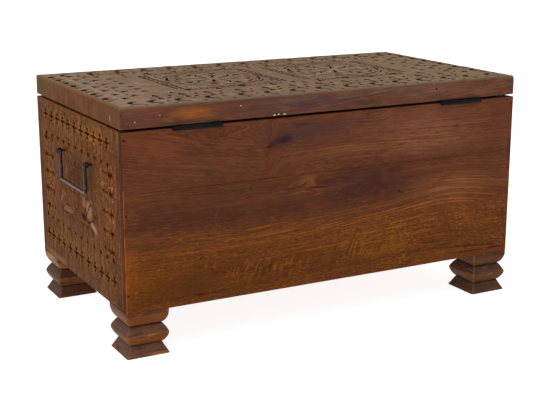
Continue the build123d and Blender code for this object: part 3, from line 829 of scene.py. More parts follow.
def rim_rear_zones(c, col):
    t, u, v = c["t"], c["u"], c["v"]
    fray = t.mul(t.m("SUBTRACT", t.noise(t.vec(t.mul(u, 1 / 40.0), t.mul(v, 1 / 9.0), 0.0), detail=3.0, rough=0.6), 0.5), 1.3)

    def zone(col, cu, cv, su, sv, rgb, k, edge=0.2, rot=0.0):
        return t.mix(t.mul(t.blob(u, v, cu, cv, su, sv, edge, rot, fray), k), col, srgb(*rgb))

    col = t.mix(0.30, col, srgb(98, 58, 48))
    mot = t.noise(t.vec(t.mul(u, 1 / 22.0), t.mul(v, 1 / 5.0), 7.0), detail=3.0, rough=0.6)
    col = t.mix(t.mul(t.blob(u, v, 305, 461, 62, 19, 0.1, 0.0, fray), t.mr(mot, 0.34, 0.58, 0.35, 0.90)), col, srgb(158, 84, 32))
    col = zone(col, 262, 452, 34, 9, (112, 78, 40), 0.6, 0.0)
    col = zone(col, 350, 452, 22, 8, (104, 74, 42), 0.5, 0.0)
    col = zone(col, 405, 460, 50, 20, (104, 60, 46), 0.6, 0.0)
    col = zone(col, 130, 462, 130, 30, (88, 58, 54), 0.75, 0.0)
    col = zone(col, 10, 462, 130, 26, (82, 56, 56), 0.65, 0.0)
    col = zone(col, 100, 470, 90, 8, (112, 86, 66), 0.5, 0.0)
    col = zone(col, -240, 462, 190, 16, (104, 74, 64), 0.5, 0.0)
    col = zone(col, -120, 471, 210, 11, (96, 68, 58), 0.6, 0.0)
    col = zone(col, -90, 453, 150, 8, (92, 58, 46), 0.45, 0.0)
    col = zone(col, -365, 452, 60, 7, (142, 76, 48), 0.7, 0.0)
    col = zone(col, -296, 447, 34, 4.5, (140, 72, 44), 0.65, 0.0)
    col = zone(col, -405, 468, 44, 10, (124, 70, 60), 0.5, 0.0)
    col = zone(col, -441, 460, 16, 26, (76, 50, 44), 0.6, 0.0)
    lines = t.noise(t.vec(t.mul(u, 1 / 160.0), t.mul(t.add(v, t.mul(u, 0.07)), 1 / 1.7), 4.0), detail=2.0, rough=0.6)
    col = t.mix(t.mul(t.mr(lines, 0.54, 0.66), t.mr(u, 160.0, -60.0, 0.4, 1.0), 0.45), col, srgb(144, 96, 80))
    col = t.mix(t.mul(t.mr(lines, 0.46, 0.36), t.mr(u, 160.0, -60.0, 0.5, 1.0), 0.50), col, srgb(54, 32, 28))
    blm = t.noise(t.vec(t.mul(u, 1 / 48.0), t.mul(v, 1 / 10.0), 15.0), detail=3.0, rough=0.62)
    col = t.mix(t.mul(t.mr(blm, 0.52, 0.68), 0.40), col, srgb(138, 80, 52))
    col = t.mix(t.mul(t.mr(blm, 0.46, 0.32), 0.28), col, srgb(66, 44, 44))
    col = zone(col, -245, 467, 2.8, 3.4, (26, 16, 14), 0.95)
    for cu, cv, su, sv in ((207, 467, 1.9, 1.7), (421, 453, 1.6, 1.6), (372, 462, 1.2, 1.2), (135, 443, 4, 2), (126, 444, 3, 1.7), (113, 443.5, 4.5, 1.6)):
        col = t.mix(t.mul(t.blob(u, v, cu, cv, su, sv, 0.4), 0.9), col, srgb(226, 186, 140))
    # the worn strip over the near hinge
    col = t.mix(t.mul(t.blob(u, v, 300, 442.6, 46, 1.6, 0.3), 0.5), col, srgb(150, 116, 88))
    # the top edge has the same dusty grey and painted sheen as the lid's top
    d = t.mr(v, Z3 - 5.5, Z3 - 0.5)
    col = t.mix(t.mul(d, 0.6), col, srgb(122, 98, 82))
    return col


def rim_end_zones(c, col):
    t, v = c["t"], c["v"]
    u = t.add(c["u"], -CY * 1000)
    tex = t.noise(t.vec(t.mul(v, 1 / 90.0), t.mul(u, 1 / 11.0), 1.0), detail=2.0)
    col = t.mix(0.45, col, srgb(118, 84, 58))
    col = t.mix(t.mul(t.mr(tex, 0.58, 0.68), 0.22), col, srgb(84, 54, 36))
    for cy, s, top in ((22, 2.6, 455), (60, 5, 466), (88, 3.0, 462), (104, 4.0, 470), (128, 2.6, 460)):
        b = t.blob(u, v, cy, top, s, 22, 0.1, 0.0, t.mul(t.m("SUBTRACT", tex, 0.5), 0.6))
        col = t.mix(t.mul(b, 0.60), col, srgb(64, 40, 26))
    st = t.noise(t.vec(t.mul(v, 1 / 60.0), t.mul(u, 1 / 9.0), 4.0), detail=3.0, rough=0.6)
    col = t.mix(t.mul(t.mr(st, 0.47, 0.33), 0.50), col, srgb(72, 48, 32))
    col = t.mix(t.mul(t.mr(st, 0.54, 0.68), 0.35), col, srgb(146, 112, 80))
    far = t.mr(u, -60.0, -225.0)
    col = t.mix(t.mul(far, 0.55), col, srgb(104, 88, 58))
    near = t.mr(u, 120.0, 210.0)
    col = t.mix(t.mul(near, 0.4), col, srgb(112, 68, 52))
    # the joint with the rear rim
    col = t.mix(t.mul(t.mr(t.m("ABSOLUTE", u), 239.0, 240.2), 0.6), col, srgb(52, 28, 22))
    col = t.mix(t.mul(t.blob(u, v, 198, 455, 3.0, 8, 0.3, 0.1), 0.9), col, srgb(206, 160, 122))
    col = t.mix(t.mul(t.blob(u, v, 80, 448, 120, 12, 0.1), 0.35), col, srgb(122, 72, 48))
    # the top edge has the same dusty grey and painted sheen as the lid's top
    d = t.mr(v, Z3 - 6.0, Z3 - 0.5)
    col = t.mix(t.mul(d, 0.55), col, srgb(128, 106, 84))
    return col


def end_zones(c, col):
    t, z = c["t"], c["u"]
    y = t.add(c["v"], -CY * 1000)
    fray = t.mul(t.m("SUBTRACT", t.noise(t.vec(t.mul(y, 1 / 30.0), t.mul(z, 1 / 60.0), 0.0), detail=3.0, rough=0.6), 0.5), 1.2)

    def zone(col, cy, cz, sy, sz, rgb, k, edge=0.2, rot=0.0):
        return t.mix(t.mul(t.blob(y, z, cy, cz, sy, sz, edge, rot, fray), k), col, srgb(*rgb))

    col = t.mix(0.50, col, srgb(112, 76, 46))
    col = zone(col, -215, 400, 50, 60, (112, 80, 64), 0.55, 0.0)
    col = zone(col, -190, 345, 34, 60, (122, 70, 48), 0.45, 0.0)
    col = zone(col, -60, 385, 150, 50, (128, 90, 54), 0.55, 0.0)
    col = zone(col, 110, 410, 120, 30, (140, 92, 44), 0.55, 0.0)
    col = zone(col, 140, 365, 90, 50, (124, 72, 44), 0.50, 0.0)
    col = zone(col, -5, 322, 62, 34, (84, 56, 32), 0.60, 0.0)
    col = zone(col, 200, 280, 30, 210, (118, 66, 38), 0.60, 0.0)
    col = zone(col, 226, 260, 13, 230, (92, 52, 36), 0.70, 0.0)
    col = zone(col, 212, 330, 6, 130, (152, 84, 40), 0.35, 0.0)
    col = zone(col, 60, 150, 170, 60, (110, 80, 54), 0.50, 0.0)
    col = zone(col, -100, 150, 150, 70, (100, 70, 46), 0.45, 0.0)
    col = zone(col, 190, 150, 40, 60, (98, 58, 36), 0.40, 0.0)
    # painted shade: a dark band down the front edge
    col = zone(col, -236, 260, 10, 190, (78, 56, 40), 0.50, 0.0)
    # the joint with the back
    col = t.mix(t.mul(t.mr(t.m("ABSOLUTE", y), 237.0, 239.6), 0.85), col, srgb(40, 22, 15))
    # upright streaks of stain and dirt
    st = t.noise(t.vec(t.mul(z, 1 / 75.0), t.mul(y, 1 / 10.0), 4.0), detail=3.0, rough=0.6)
    col = t.mix(t.mul(t.mr(st, 0.47, 0.33), 0.68), col, srgb(56, 37, 25))
    col = t.mix(t.mul(t.mr(st, 0.54, 0.68), 0.48), col, srgb(160, 110, 68))
    di = t.noise(t.vec(t.mul(z, 1 / 7.0), t.mul(y, 1 / 14.0), 6.0), detail=3.0, rough=0.7)
    col = t.mix(t.mul(t.mr(di, 0.50, 0.36), 0.52), col, srgb(48, 31, 22))
    col = t.mix(t.mul(t.mr(di, 0.56, 0.70), 0.34), col, srgb(172, 118, 70))
    # painted shade: darker towards the front edge of the panel
    col = t.mix(t.mul(t.mr(y, -214.0, -246.0), 0.55), col, srgb(62, 46, 34))
    # warmer and brighter round the upper row of stars
    col = t.mix(t.mul(t.blob(y, z, 60, 404, 120, 18, 0.0), 0.35), col, srgb(166, 104, 52))
    col = t.mix(t.mr(z, 385.0, 425.0), col, (1.13, 1.20, 1.28, 1.0), "MULTIPLY")
    col = t.mix(t.mul(t.blob(y, z, 20, 262, 175, 70, 0.0), 0.30), col, srgb(78, 46, 30))
    # the field behind the handle is dark
    col = t.mix(t.mul(t.blob(y, z, 10, 316, 58, 30, 0.2), 0.35), col, srgb(72, 48, 30))
    # small orange and pale nicks among the upper stars
    v2 = t.voronoi(t.vec(t.mul(y, 1 / 13.0), t.mul(z, 1 / 9.0), 3.0))
    p2 = t.noise(t.vec(t.mul(y, 1 / 20.0), t.mul(z, 1 / 20.0), 3.0), detail=1.0)
    col = t.mix(t.mul(t.mr(v2, 0.26, 0.16), t.blob(y, z, 70, 392, 130, 30, 0.0), t.mr(p2, 0.44, 0.52), 0.75), col, srgb(222, 150, 84))
    # ribs over the lens: painted highlights on their crests and painted shade between them
    rb = t.m("SINE", t.mul(t.add(t.mul(y, 0.53), t.mul(z, 0.848)), 2 * math.pi / 8.0))
    col = t.mix(t.mul(t.blob(y, z, -45, 252, 58, 20, 0.3), t.mr(rb, -0.2, 0.8), 0.35), col, srgb(160, 120, 90))
    col = t.mix(t.mul(t.blob(y, z, -45, 252, 58, 20, 0.3), t.mr(rb, 0.2, -0.8), 0.30), col, srgb(60, 38, 26))
    # the leaf, the lens and two slim leaves are paler and greyer than the ground, a painted highlight on their raised
    # faces
    for cy, cz, sy, sz, rot, k in ((60, 250, 24, 23, 0.0, 0.75), (31, 262, 11, 17, 0.0, 0.7), (85, 221, 31, 8.0, -0.42, 0.95), (-64, 224, 42, 9.0, -0.03, 0.35), (-104, 246, 4, 22, -0.33, 0.55),
                                   (-71, 305, 7, 20, -0.35, 0.6), (-87, 252, 6, 4, 0.0, 0.6), (70, 268, 14, 5, 0.0, 0.4)):
        col = t.mix(t.mul(t.blob(y, z, cy, cz, sy, sz, 0.45, rot), k), col, srgb(164, 130, 120))
    # worn bare wood along the lower front edge
    col = zone(col, -165, 98, 95, 11, (150, 112, 78), 0.75)
    # yellow spots of old paint or glue
    sp = t.noise(t.vec(t.mul(y, 1 / 5.0), t.mul(z, 1 / 4.0), 5.0), detail=2.0)
    a = t.m("MAXIMUM", t.blob(y, z, 148, 323, 17, 7, 0.3, 0.1), t.blob(y, z, 186, 320, 13, 5, 0.3, -0.2))
    col = t.mix(t.mul(t.mr(sp, 0.50, 0.58), a, 0.9), col, srgb(196, 152, 62))
    # pale chips down the rear border
    vs = t.voronoi(t.vec(t.mul(y, 1 / 11.0), t.mul(z, 1 / 15.0), 0.0))
    band = t.blob(y, z, 192, 240, 13, 210, 0.3)
    pick = t.noise(t.vec(t.mul(y, 1 / 18.0), t.mul(z, 1 / 18.0), 8.0), detail=1.0)
    col = t.mix(t.mul(t.mr(vs, 0.24, 0.15), band, t.mr(pick, 0.42, 0.5), 0.9), col, srgb(236, 190, 150))
    return col


def front_zones(c, col):
    t, x, z = c["t"], c["u"], c["v"]
    n = t.noise(t.vec(t.mul(x, 1 / 130.0), t.mul(z, 1 / 60.0), 2.0), detail=3.0)
    col = t.mix(0.5, col, srgb(112, 74, 44))
    col = t.mix(t.mul(t.mr(n, 0.5, 0.7), 0.5), col, srgb(134, 86, 46))
    col = t.mix(t.mul(t.mr(n, 0.48, 0.3), 0.5), col, srgb(80, 52, 36))
    st = t.noise(t.vec(t.mul(x, 1 / 9.0), t.mul(z, 1 / 60.0), 4.0), detail=3.0, rough=0.6)
    col = t.mix(t.mul(t.mr(st, 0.47, 0.32), 0.35), col, srgb(62, 42, 28))
    col = t.mix(t.mul(t.mr(st, 0.55, 0.7), 0.3), col, srgb(150, 100, 60))
    return col


def top_zones(c, col):
    t = c["t"]
    u, v = c["u"], c["v"]
    n = t.noise(t.vec(t.mul(u, 1 / 140.0), t.mul(v, 1 / 90.0), 2.0), detail=3.0)
    # a grey-brown cast over the whole top: dusty wood with painted sheen
    col = t.mix(0.50, col, srgb(120, 96, 78))
    col = t.mix(t.mul(t.mr(n, 0.45, 0.7), 0.45), col, srgb(106, 94, 72))
    n2 = t.noise(t.vec(t.mul(u, 1 / 75.0), t.mul(v, 1 / 75.0), 6.0), detail=3.0)
    col = t.mix(t.mul(t.mr(n2, 0.52, 0.68), 0.35), col, srgb(128, 88, 74))
    n3 = t.noise(t.vec(t.mul(u, 1 / 34.0), t.mul(v, 1 / 42.0), 9.0), detail=4.0, rough=0.65)
    col = t.mix(t.mul(t.mr(n3, 0.50, 0.68), 0.50), col, srgb(152, 126, 106))
    col = t.mix(t.mul(t.mr(n3, 0.48, 0.32), 0.58), col, srgb(88, 68, 50))
    near = t.mr(t.add(u, t.mul(n, 120.0)), 330.0, 480.0)
    col = t.mix(t.mul(near, 0.34), col, srgb(164, 136, 116))
    pk = t.noise(t.vec(t.mul(u, 1 / 26.0), t.mul(v, 1 / 60.0), 14.0), detail=4.0, rough=0.7)
    col = t.mix(t.mul(t.mr(pk, 0.55, 0.68), t.mr(u, 120.0, 330.0, 0.3, 1.0), 0.40), col, srgb(174, 136, 122))
    col = t.mix(t.mul(t.mr(pk, 0.46, 0.32), 0.35), col, srgb(94, 70, 52))
    far = t.mr(t.add(u, t.mul(n, 160.0)), 60.0, -330.0)
    col = t.mix(t.mul(far, 0.40), col, srgb(124, 104, 76))
    return col


def foot_zones(c, col):
    t = c["t"]
    x, y, z = t.xyz(t.obj())
    n = t.noise(t.vec(t.mul(x, 1 / 26.0), t.mul(y, 1 / 26.0), t.mul(z, 1 / 9.0)), detail=3.0)
    # painted sheen: the slopes that face up get a purple, satiny cast; the hollowed undersides are warm
    up_slope_sheen = t.m("MAXIMUM", t.mr(z, 24.5, 21.0), t.mul(t.mr(z, 40.0, 45.0), t.mr(z, 63.5, 60.5)))
    col = t.mix(t.mul(up_slope_sheen, t.mr(n, 0.30, 0.62, 0.95, 0.55)), col, srgb(108, 78, 76))
    warm = t.m("SUBTRACT", 1.0, up_slope_sheen)
    col = t.mix(t.mul(warm, t.mr(n, 0.35, 0.62, 0.45, 0.90)), col, srgb(118, 66, 22))
    grain = t.noise(t.vec(t.mul(x, 1 / 50.0), t.mul(y, 1 / 50.0), t.mul(z, 1 / 2.4)), detail=2.0)
    col = t.mix(t.mul(t.mr(grain, 0.56, 0.68), 0.40), col, srgb(58, 34, 24))
    # painted shade: dark lines in the two valleys between the lobes
    for zz, k in ((22.8, 0.75), (61.8, 0.75)):
        col = t.mix(t.mul(t.mr(t.m("ABSOLUTE", t.m("SUBTRACT", z, zz)), 1.6, 0.3), k), col, srgb(40, 23, 16))
    top = t.mr(z, 66.0, 84.0)
    col = t.mix(t.mul(top, 0.6), col, srgb(112, 64, 30))
    streak = t.mul(t.blob(t.m("ABSOLUTE", x), z, 415, 86, 70, 4.5, 0.2, 0.0, t.mul(t.m("SUBTRACT", n, 0.5), 1.6)), 0.8)
    col = t.mix(streak, col, srgb(62, 40, 42))
    # golden lips on the lobes' tips and the bottom edge: worn wood with a painted highlight; and darker feet at the
    # front
    for zz, k in ((42.5, 0.55), (3.0, 0.5)):
        col = t.mix(t.mul(t.mr(t.m("ABSOLUTE", t.m("SUBTRACT", z, zz)), 4.0, 1.0), t.mr(n, 0.42, 0.60), k), col, srgb(164, 112, 48))
    col = t.mix(t.mul(t.m("MAXIMUM", t.mr(y, 40.0, -120.0), t.mr(x, 150.0, -150.0)), 0.55), col, srgb(56, 42, 34))
    col = t.mix(t.mul(t.mr(t.m("ABSOLUTE", x), 446.0, 449.0), t.mr(z, 62.0, 50.0), 0.45), col, srgb(58, 42, 28))
    # long gouge marks, dark and light, and dirt in the hollows
    g = t.noise(t.vec(t.mul(x, 1 / 34.0), t.mul(y, 1 / 34.0), t.mul(z, 1 / 3.2)), detail=4.0, rough=0.65)
    col = t.mix(t.mul(t.mr(g, 0.48, 0.34), 0.60), col, srgb(44, 28, 18))
    col = t.mix(t.mul(t.mr(g, 0.55, 0.70), 0.40), col, srgb(146, 104, 72))
    blk = t.noise(t.vec(t.mul(x, 1 / 20.0), t.mul(y, 1 / 20.0), t.mul(z, 1 / 12.0)), detail=3.0)
    col = t.mix(t.mul(t.mr(blk, 0.50, 0.66), t.mr(x, 447.0, 449.0, 0.25, 1.0), 0.35), col, srgb(78, 40, 34))
    pale = t.mul(t.mr(x, 330.0, 380.0), t.mr(y, -120.0, -190.0), t.mr(z, 58.0, 76.0))
    col = t.mix(t.mul(pale, t.mr(n, 0.3, 0.6), 0.8), col, srgb(158, 118, 80))
    return col


M = {}
M["back"] = wood("back_wood", "X", "Z", tone=(0.84, 0.80, 0.76), warp=back_warp, zones=back_zones, knots=((122.0, 390.0, 22.0, 8.0), (56.0, 304.0, 18.0, 7.0), (-160.0, 259.0, 12.0, 5.0)),
                 rough=0.50, gloss=0.03, wear_and_highlight_amt=0.35, wear_and_highlight_col=(112, 62, 32), seed=1, contrast=0.62, streak=0.6, line_freq=1.2, wob=(18.0, 2.4), fine=0.9)
M["rim_long"] = wood("lid_rim_wood", "X", "Z", tone=(0.88, 0.98, 1.02), zones=rim_rear_zones, rough=0.50, gloss=0.03, seed=3, wear_and_highlight_amt=0.4, wear_and_highlight_col=(132, 102, 82), contrast=0.7, streak=0.6, line_freq=0.9)
M["rim_end"] = wood("lid_rim_end_wood", "Y", "Z", tone=(0.87, 0.77, 0.60), zones=rim_end_zones, rough=0.58, gloss=0.015, seed=5, wear_and_highlight_amt=0.45, wear_and_highlight_col=(140, 116, 92), streak=0.25, contrast=0.5)
M["end"] = wood("end_panel_wood", "Z", "Y", tone=(0.86, 0.73, 0.49), zones=end_zones, rough=0.56, gloss=0.015, seed=7, wear_and_highlight_amt=0.75, wear_and_highlight_col=(166, 116, 74), streak=0.7, contrast=0.7, cutdark=0.90, cutfull=0.42)
M["front"] = wood("front_panel_wood", "X", "Z", tone=(0.86, 0.73, 0.49), zones=front_zones, rough=0.5, gloss=0.06, seed=9, wear_and_highlight_amt=0.8, wear_and_highlight_col=(166, 110, 62), streak=0.7, contrast=0.7, pale_specks=0.3, cutfull=0.5)
M["top"] = wood("lid_top_wood", "X", "Y", tone=(1.00, 1.04, 1.04), zones=top_zones, rough=0.62, gloss=0.0, seed=11, dust_and_sheen=0.35, wear_and_highlight_amt=0.75, wear_and_highlight_col=(168, 138, 112), streak=0.6, contrast=0.8, cutdark=0.97, cutcol=(42, 25, 18), cutfull=0.13)
M["foot"] = wood("foot_wood", "Z", "X", tone=(1.00, 0.88, 0.62), zones=foot_zones, rough=0.46, gloss=0.08, seed=13, wear_and_highlight_amt=0.8, wear_and_highlight_col=(146, 104, 72), streak=0.6, contrast=0.8, dark=(48, 28, 22), mid=(84, 52, 38), light=(120, 76, 50))
M["inner_x"] = plain_wood("inner_wood_lengthwise", "X", "Z")
M["inner_y"] = plain_wood("inner_wood_crosswise", "Y", "X")
M["inner_end"] = plain_wood("inner_wood_ends", "Y", "Z")
M["under"] = plain_wood("lid_underside_wood", "X", "Y")
M["hinge"] = iron("hinge_iron", col=(12, 12, 13), rust=(34, 24, 22), rustamt=0.5, rough=0.50, metallic=0.0, bump=0.9, spec=0.08)
M["handle"] = iron("handle_iron", col=(48, 37, 42), rust=(60, 36, 28), rustamt=0.7, rough=0.36, metallic=0.5, bump=0.5, spec=0.35)
M["nail"] = iron("nail_iron", col=(26, 17, 14), rust=(56, 30, 20), rustamt=0.7, rough=0.7, metallic=0.1, spec=0.1)
M["screw"] = iron("screw_iron", col=(38, 36, 36), rust=(70, 44, 30), rustamt=0.35, rough=0.5, metallic=0.7)


def leather(name):
    t = Tree(name)
    P = t.obj()
    a = t.noise(t.vm("SCALE", P, scale=1 / 2.4), detail=3.0, rough=0.6)
    b = t.noise(t.vm("SCALE", P, scale=1 / 12.0), detail=2.0)
    t.put(t.b.inputs["Base Color"], t.ramp(t.add(t.mul(a, 0.5), t.mul(b, 0.5)), [(0.35, srgb(44, 26, 17)), (0.65, srgb(92, 58, 36))]))
    t.put(t.b.inputs["Roughness"], t.mr(a, 0.2, 0.8, 0.62, 0.85))
    t.put(t.b.inputs["Normal"], t.bump(a, strength=0.4, distance=0.0005))
    return t.mat


M["pad"] = leather("pad_leather")


# ------------------------------------------------------------------ carved motifs
def sub(p, d, a, s, b):
    return (p[0] + d[0] * a + s[0] * b, p[1] + d[1] * a + s[1] * b)


def star(c, p, d, s, k=1.0, depth=2.6, side=1.0, key=0):
    """Two dark chips that meet in a point, a narrow cut across them, and small light facets in the corners."""
    def q(a, b, n=0):
        return sub(p, d, a * k + 0.8 * rnd(key, n, 21), s, b * k + 0.8 * rnd(key, n, 22))
    c.chip(q(-8.8, -6.2, 1), q(-8.8, 6.2, 2), q(-0.3, 0), depth * k, (1, 1, 1.6))
    c.chip(q(8.8, -6.2, 3), q(8.8, 6.2, 4), q(0.3, 0), depth * k, (1, 1, 1.6))
    c.lens(q(0, -11.5, 5), q(0, 11.5, 6), 2.9 * k, depth * 0.9 * k, n=6)
    c.tone = side
    for sa in (-1, 1):
        for sb in (-1, 1):
            c.chip(q(sa * 4.2, sb * 10.4), q(sa * 9.4, sb * 8.6), q(sa * 3.4, sb * 4.4), 0.9 * k)
    c.tone = 0.0


def dot(c, p, r=1.7, depth=1.2, a0=90.0, tone=0.0):
    pts = [(p[0] + r * math.cos(math.radians(a0 + 120 * i)), p[1] + r * math.sin(math.radians(a0 + 120 * i))) for i in range(3)]
    c.tone = tone
    c.chip(*pts, depth)
    c.tone = 0.0


def arrow(c, p, d, s, k=1.0, depth=2.4, tip=1.0):
    def q(a, b):
        return sub(p, d, a * k, s, b * k)
    c.chip(q(-6.0, -6.5), q(-6.0, 6.5), q(2.5, 0), depth * k, (1, 1, 0.9))
    dot(c, q(7.0, 0), 2.0 * k, 1.2 * k, math.degrees(math.atan2(d[1], d[0])), tip)


def motif(c, p, d, L, pitch, key=0, line=True, dots=True):
    """Star, scored line and arrowhead, as the border repeats them."""
    s = (-d[1], d[0])
    j = 0.9 * rnd(key, 1, 1)
    p = (p[0] + s[0] * j, p[1] + s[1] * j)
    star(c, p, d, s, 1.32 + 0.10 * rnd(key, 2, 2), 2.6 + 0.7 * rnd(key, 2, 12), key=key)
    if line:
        c.tone = 0.2
        c.line(sub(p, d, 14.0, s, 0), sub(p, d, L - 10.0, s, 0.4 * rnd(key, 3)), 1.15, 1.4, step=9, wob=0.3, key=key)
        c.tone = 0.8
        c.line(sub(p, d, 14.0, s, 6.5), sub(p, d, 25.0, s, 6.0), 0.7, 0.6, step=9, key=key + 1)
        c.line(sub(p, d, 14.0, s, -6.5), sub(p, d, 25.0, s, -6.0), 0.7, 0.6, step=9, key=key + 2)
        c.tone = 0.0
    arrow(c, sub(p, d, L, s, 0), d, s, 1.5 + 0.08 * rnd(key, 4))
    if dots:
        h = pitch / 2
        for i, (a, b) in enumerate(((-8.5, h), (8.5, h), (0.0, h), (17.5, h), (31.0, h), (42.0, h))):
            dot(c, sub(p, d, a + 0.8 * rnd(key, a, 5), s, b + 0.8 * rnd(key, a, 6)), 2.9 + 0.5 * rnd(key, a, 7), 1.8, math.degrees(math.atan2(d[1], d[0])) + 180 * (a > 0), 1.0 if i % 2 else 0.0)
        dot(c, sub(p, d, -16.5, s, 0), 2.1, 1.3, 90, 0.5)


def seg_dist(y, z, pts):
    """Distance from many points to a line of straight pieces."""
    d = np.full(len(y), 1e9)
    for (a, b), (e, f) in zip(pts, pts[1:]):
        vy, vz = e - a, f - b
        t = np.clip(((y - a) * vy + (z - b) * vz) / (vy * vy + vz * vz), 0, 1)
        d = np.minimum(d, np.hypot(y - a - t * vy, z - b - t * vz))
    return d


def in_shape(y, z, pts):
    ok = np.zeros(len(y), bool)
    for i in range(len(pts)):
        (a, b), (e, f) = pts[i], pts[(i + 1) % len(pts)]
        if b != f:
            ok ^= ((b > z) != (f > z)) & (y < (e - a) * (z - b) / (f - b) + a)
    return ok


def patch(y, z, pts, edge, rise, power=0.7):
    """A raised shape with sloping sides: its height, and the groove round its foot."""
    d = seg_dist(y, z, pts + pts[:1])
    ins = in_shape(y, z, pts)
    return np.where(ins, rise * np.clip(d / edge, 0, 1) ** power, 0.0), np.where(ins, 0.0, np.clip(1 - d / 2.0, 0, 1))


# the carved shapes, in (Y, z) of the case
LEAF = [(36.6, 271.7), (55.0, 270.0), (70.7, 267.3), (78.5, 259.0), (82.6, 248.5), (82.1, 235.9), (74.0, 231.5), (63.7, 227.6), (51.5, 223.8), (44.0, 229.5), (42.0, 238.0), (40.6, 247.2), (36.4, 259.5)]
PETALS = [(22.6, 273.5), (35.4, 271.7), (35.0, 259.5), (38.8, 247.2), (39.6, 235.0), (32.5, 238.0), (26.0, 243.5), (20.9, 252.0)]
TIP = [(55.0, 220.2), (64.0, 224.6), (73.5, 228.2), (82.5, 231.5), (89.0, 227.0), (96.5, 221.4), (106.0, 215.6), (115.0, 211.0), (99.0, 211.2), (84.7, 212.3), (68.0, 215.4)]
LENS = [(-106.0, 214.6), (-98.9, 222.6), (-86.6, 229.6), (-70.9, 232.6), (-55.2, 231.4), (-40.5, 227.0), (-27.0, 221.4), (-39.0, 218.8), (-55.0, 216.6), (-78.0, 215.0), (-95.0, 213.6)]
MIDRIB = [(76.5, 266.0), (69.8, 263.4), (68.6, 259.6), (62.0, 257.4), (60.6, 253.0), (55.4, 248.8), (54.4, 244.2), (48.9, 240.6), (45.4, 234.6)]
RIDGE = [(-25.0, 222.4), (-16.0, 225.4), (-6.0, 229.0), (4.3, 231.6), (16.5, 232.8), (24.0, 231.0)]
STRIP = [(-97.1, 266.0), (-104.0, 246.0), (-111.1, 224.5)]
RIBS = [(-93.0, 270.0), (19.0, 272.0), (19.5, 250.0), (23.0, 240.0), (14.0, 236.5), (2.0, 235.0), (-8.0, 231.5), (-26.0, 226.0), (-40.0, 230.5), (-56.0, 235.5), (-72.0, 236.6), (-88.0, 233.0), (-100.0, 228.0), (-98.0, 246.0)]
RIBS2 = [(86.0, 270.0), (107.0, 270.0), (108.0, 232.0), (98.0, 226.0), (86.0, 233.5), (86.5, 248.0)]


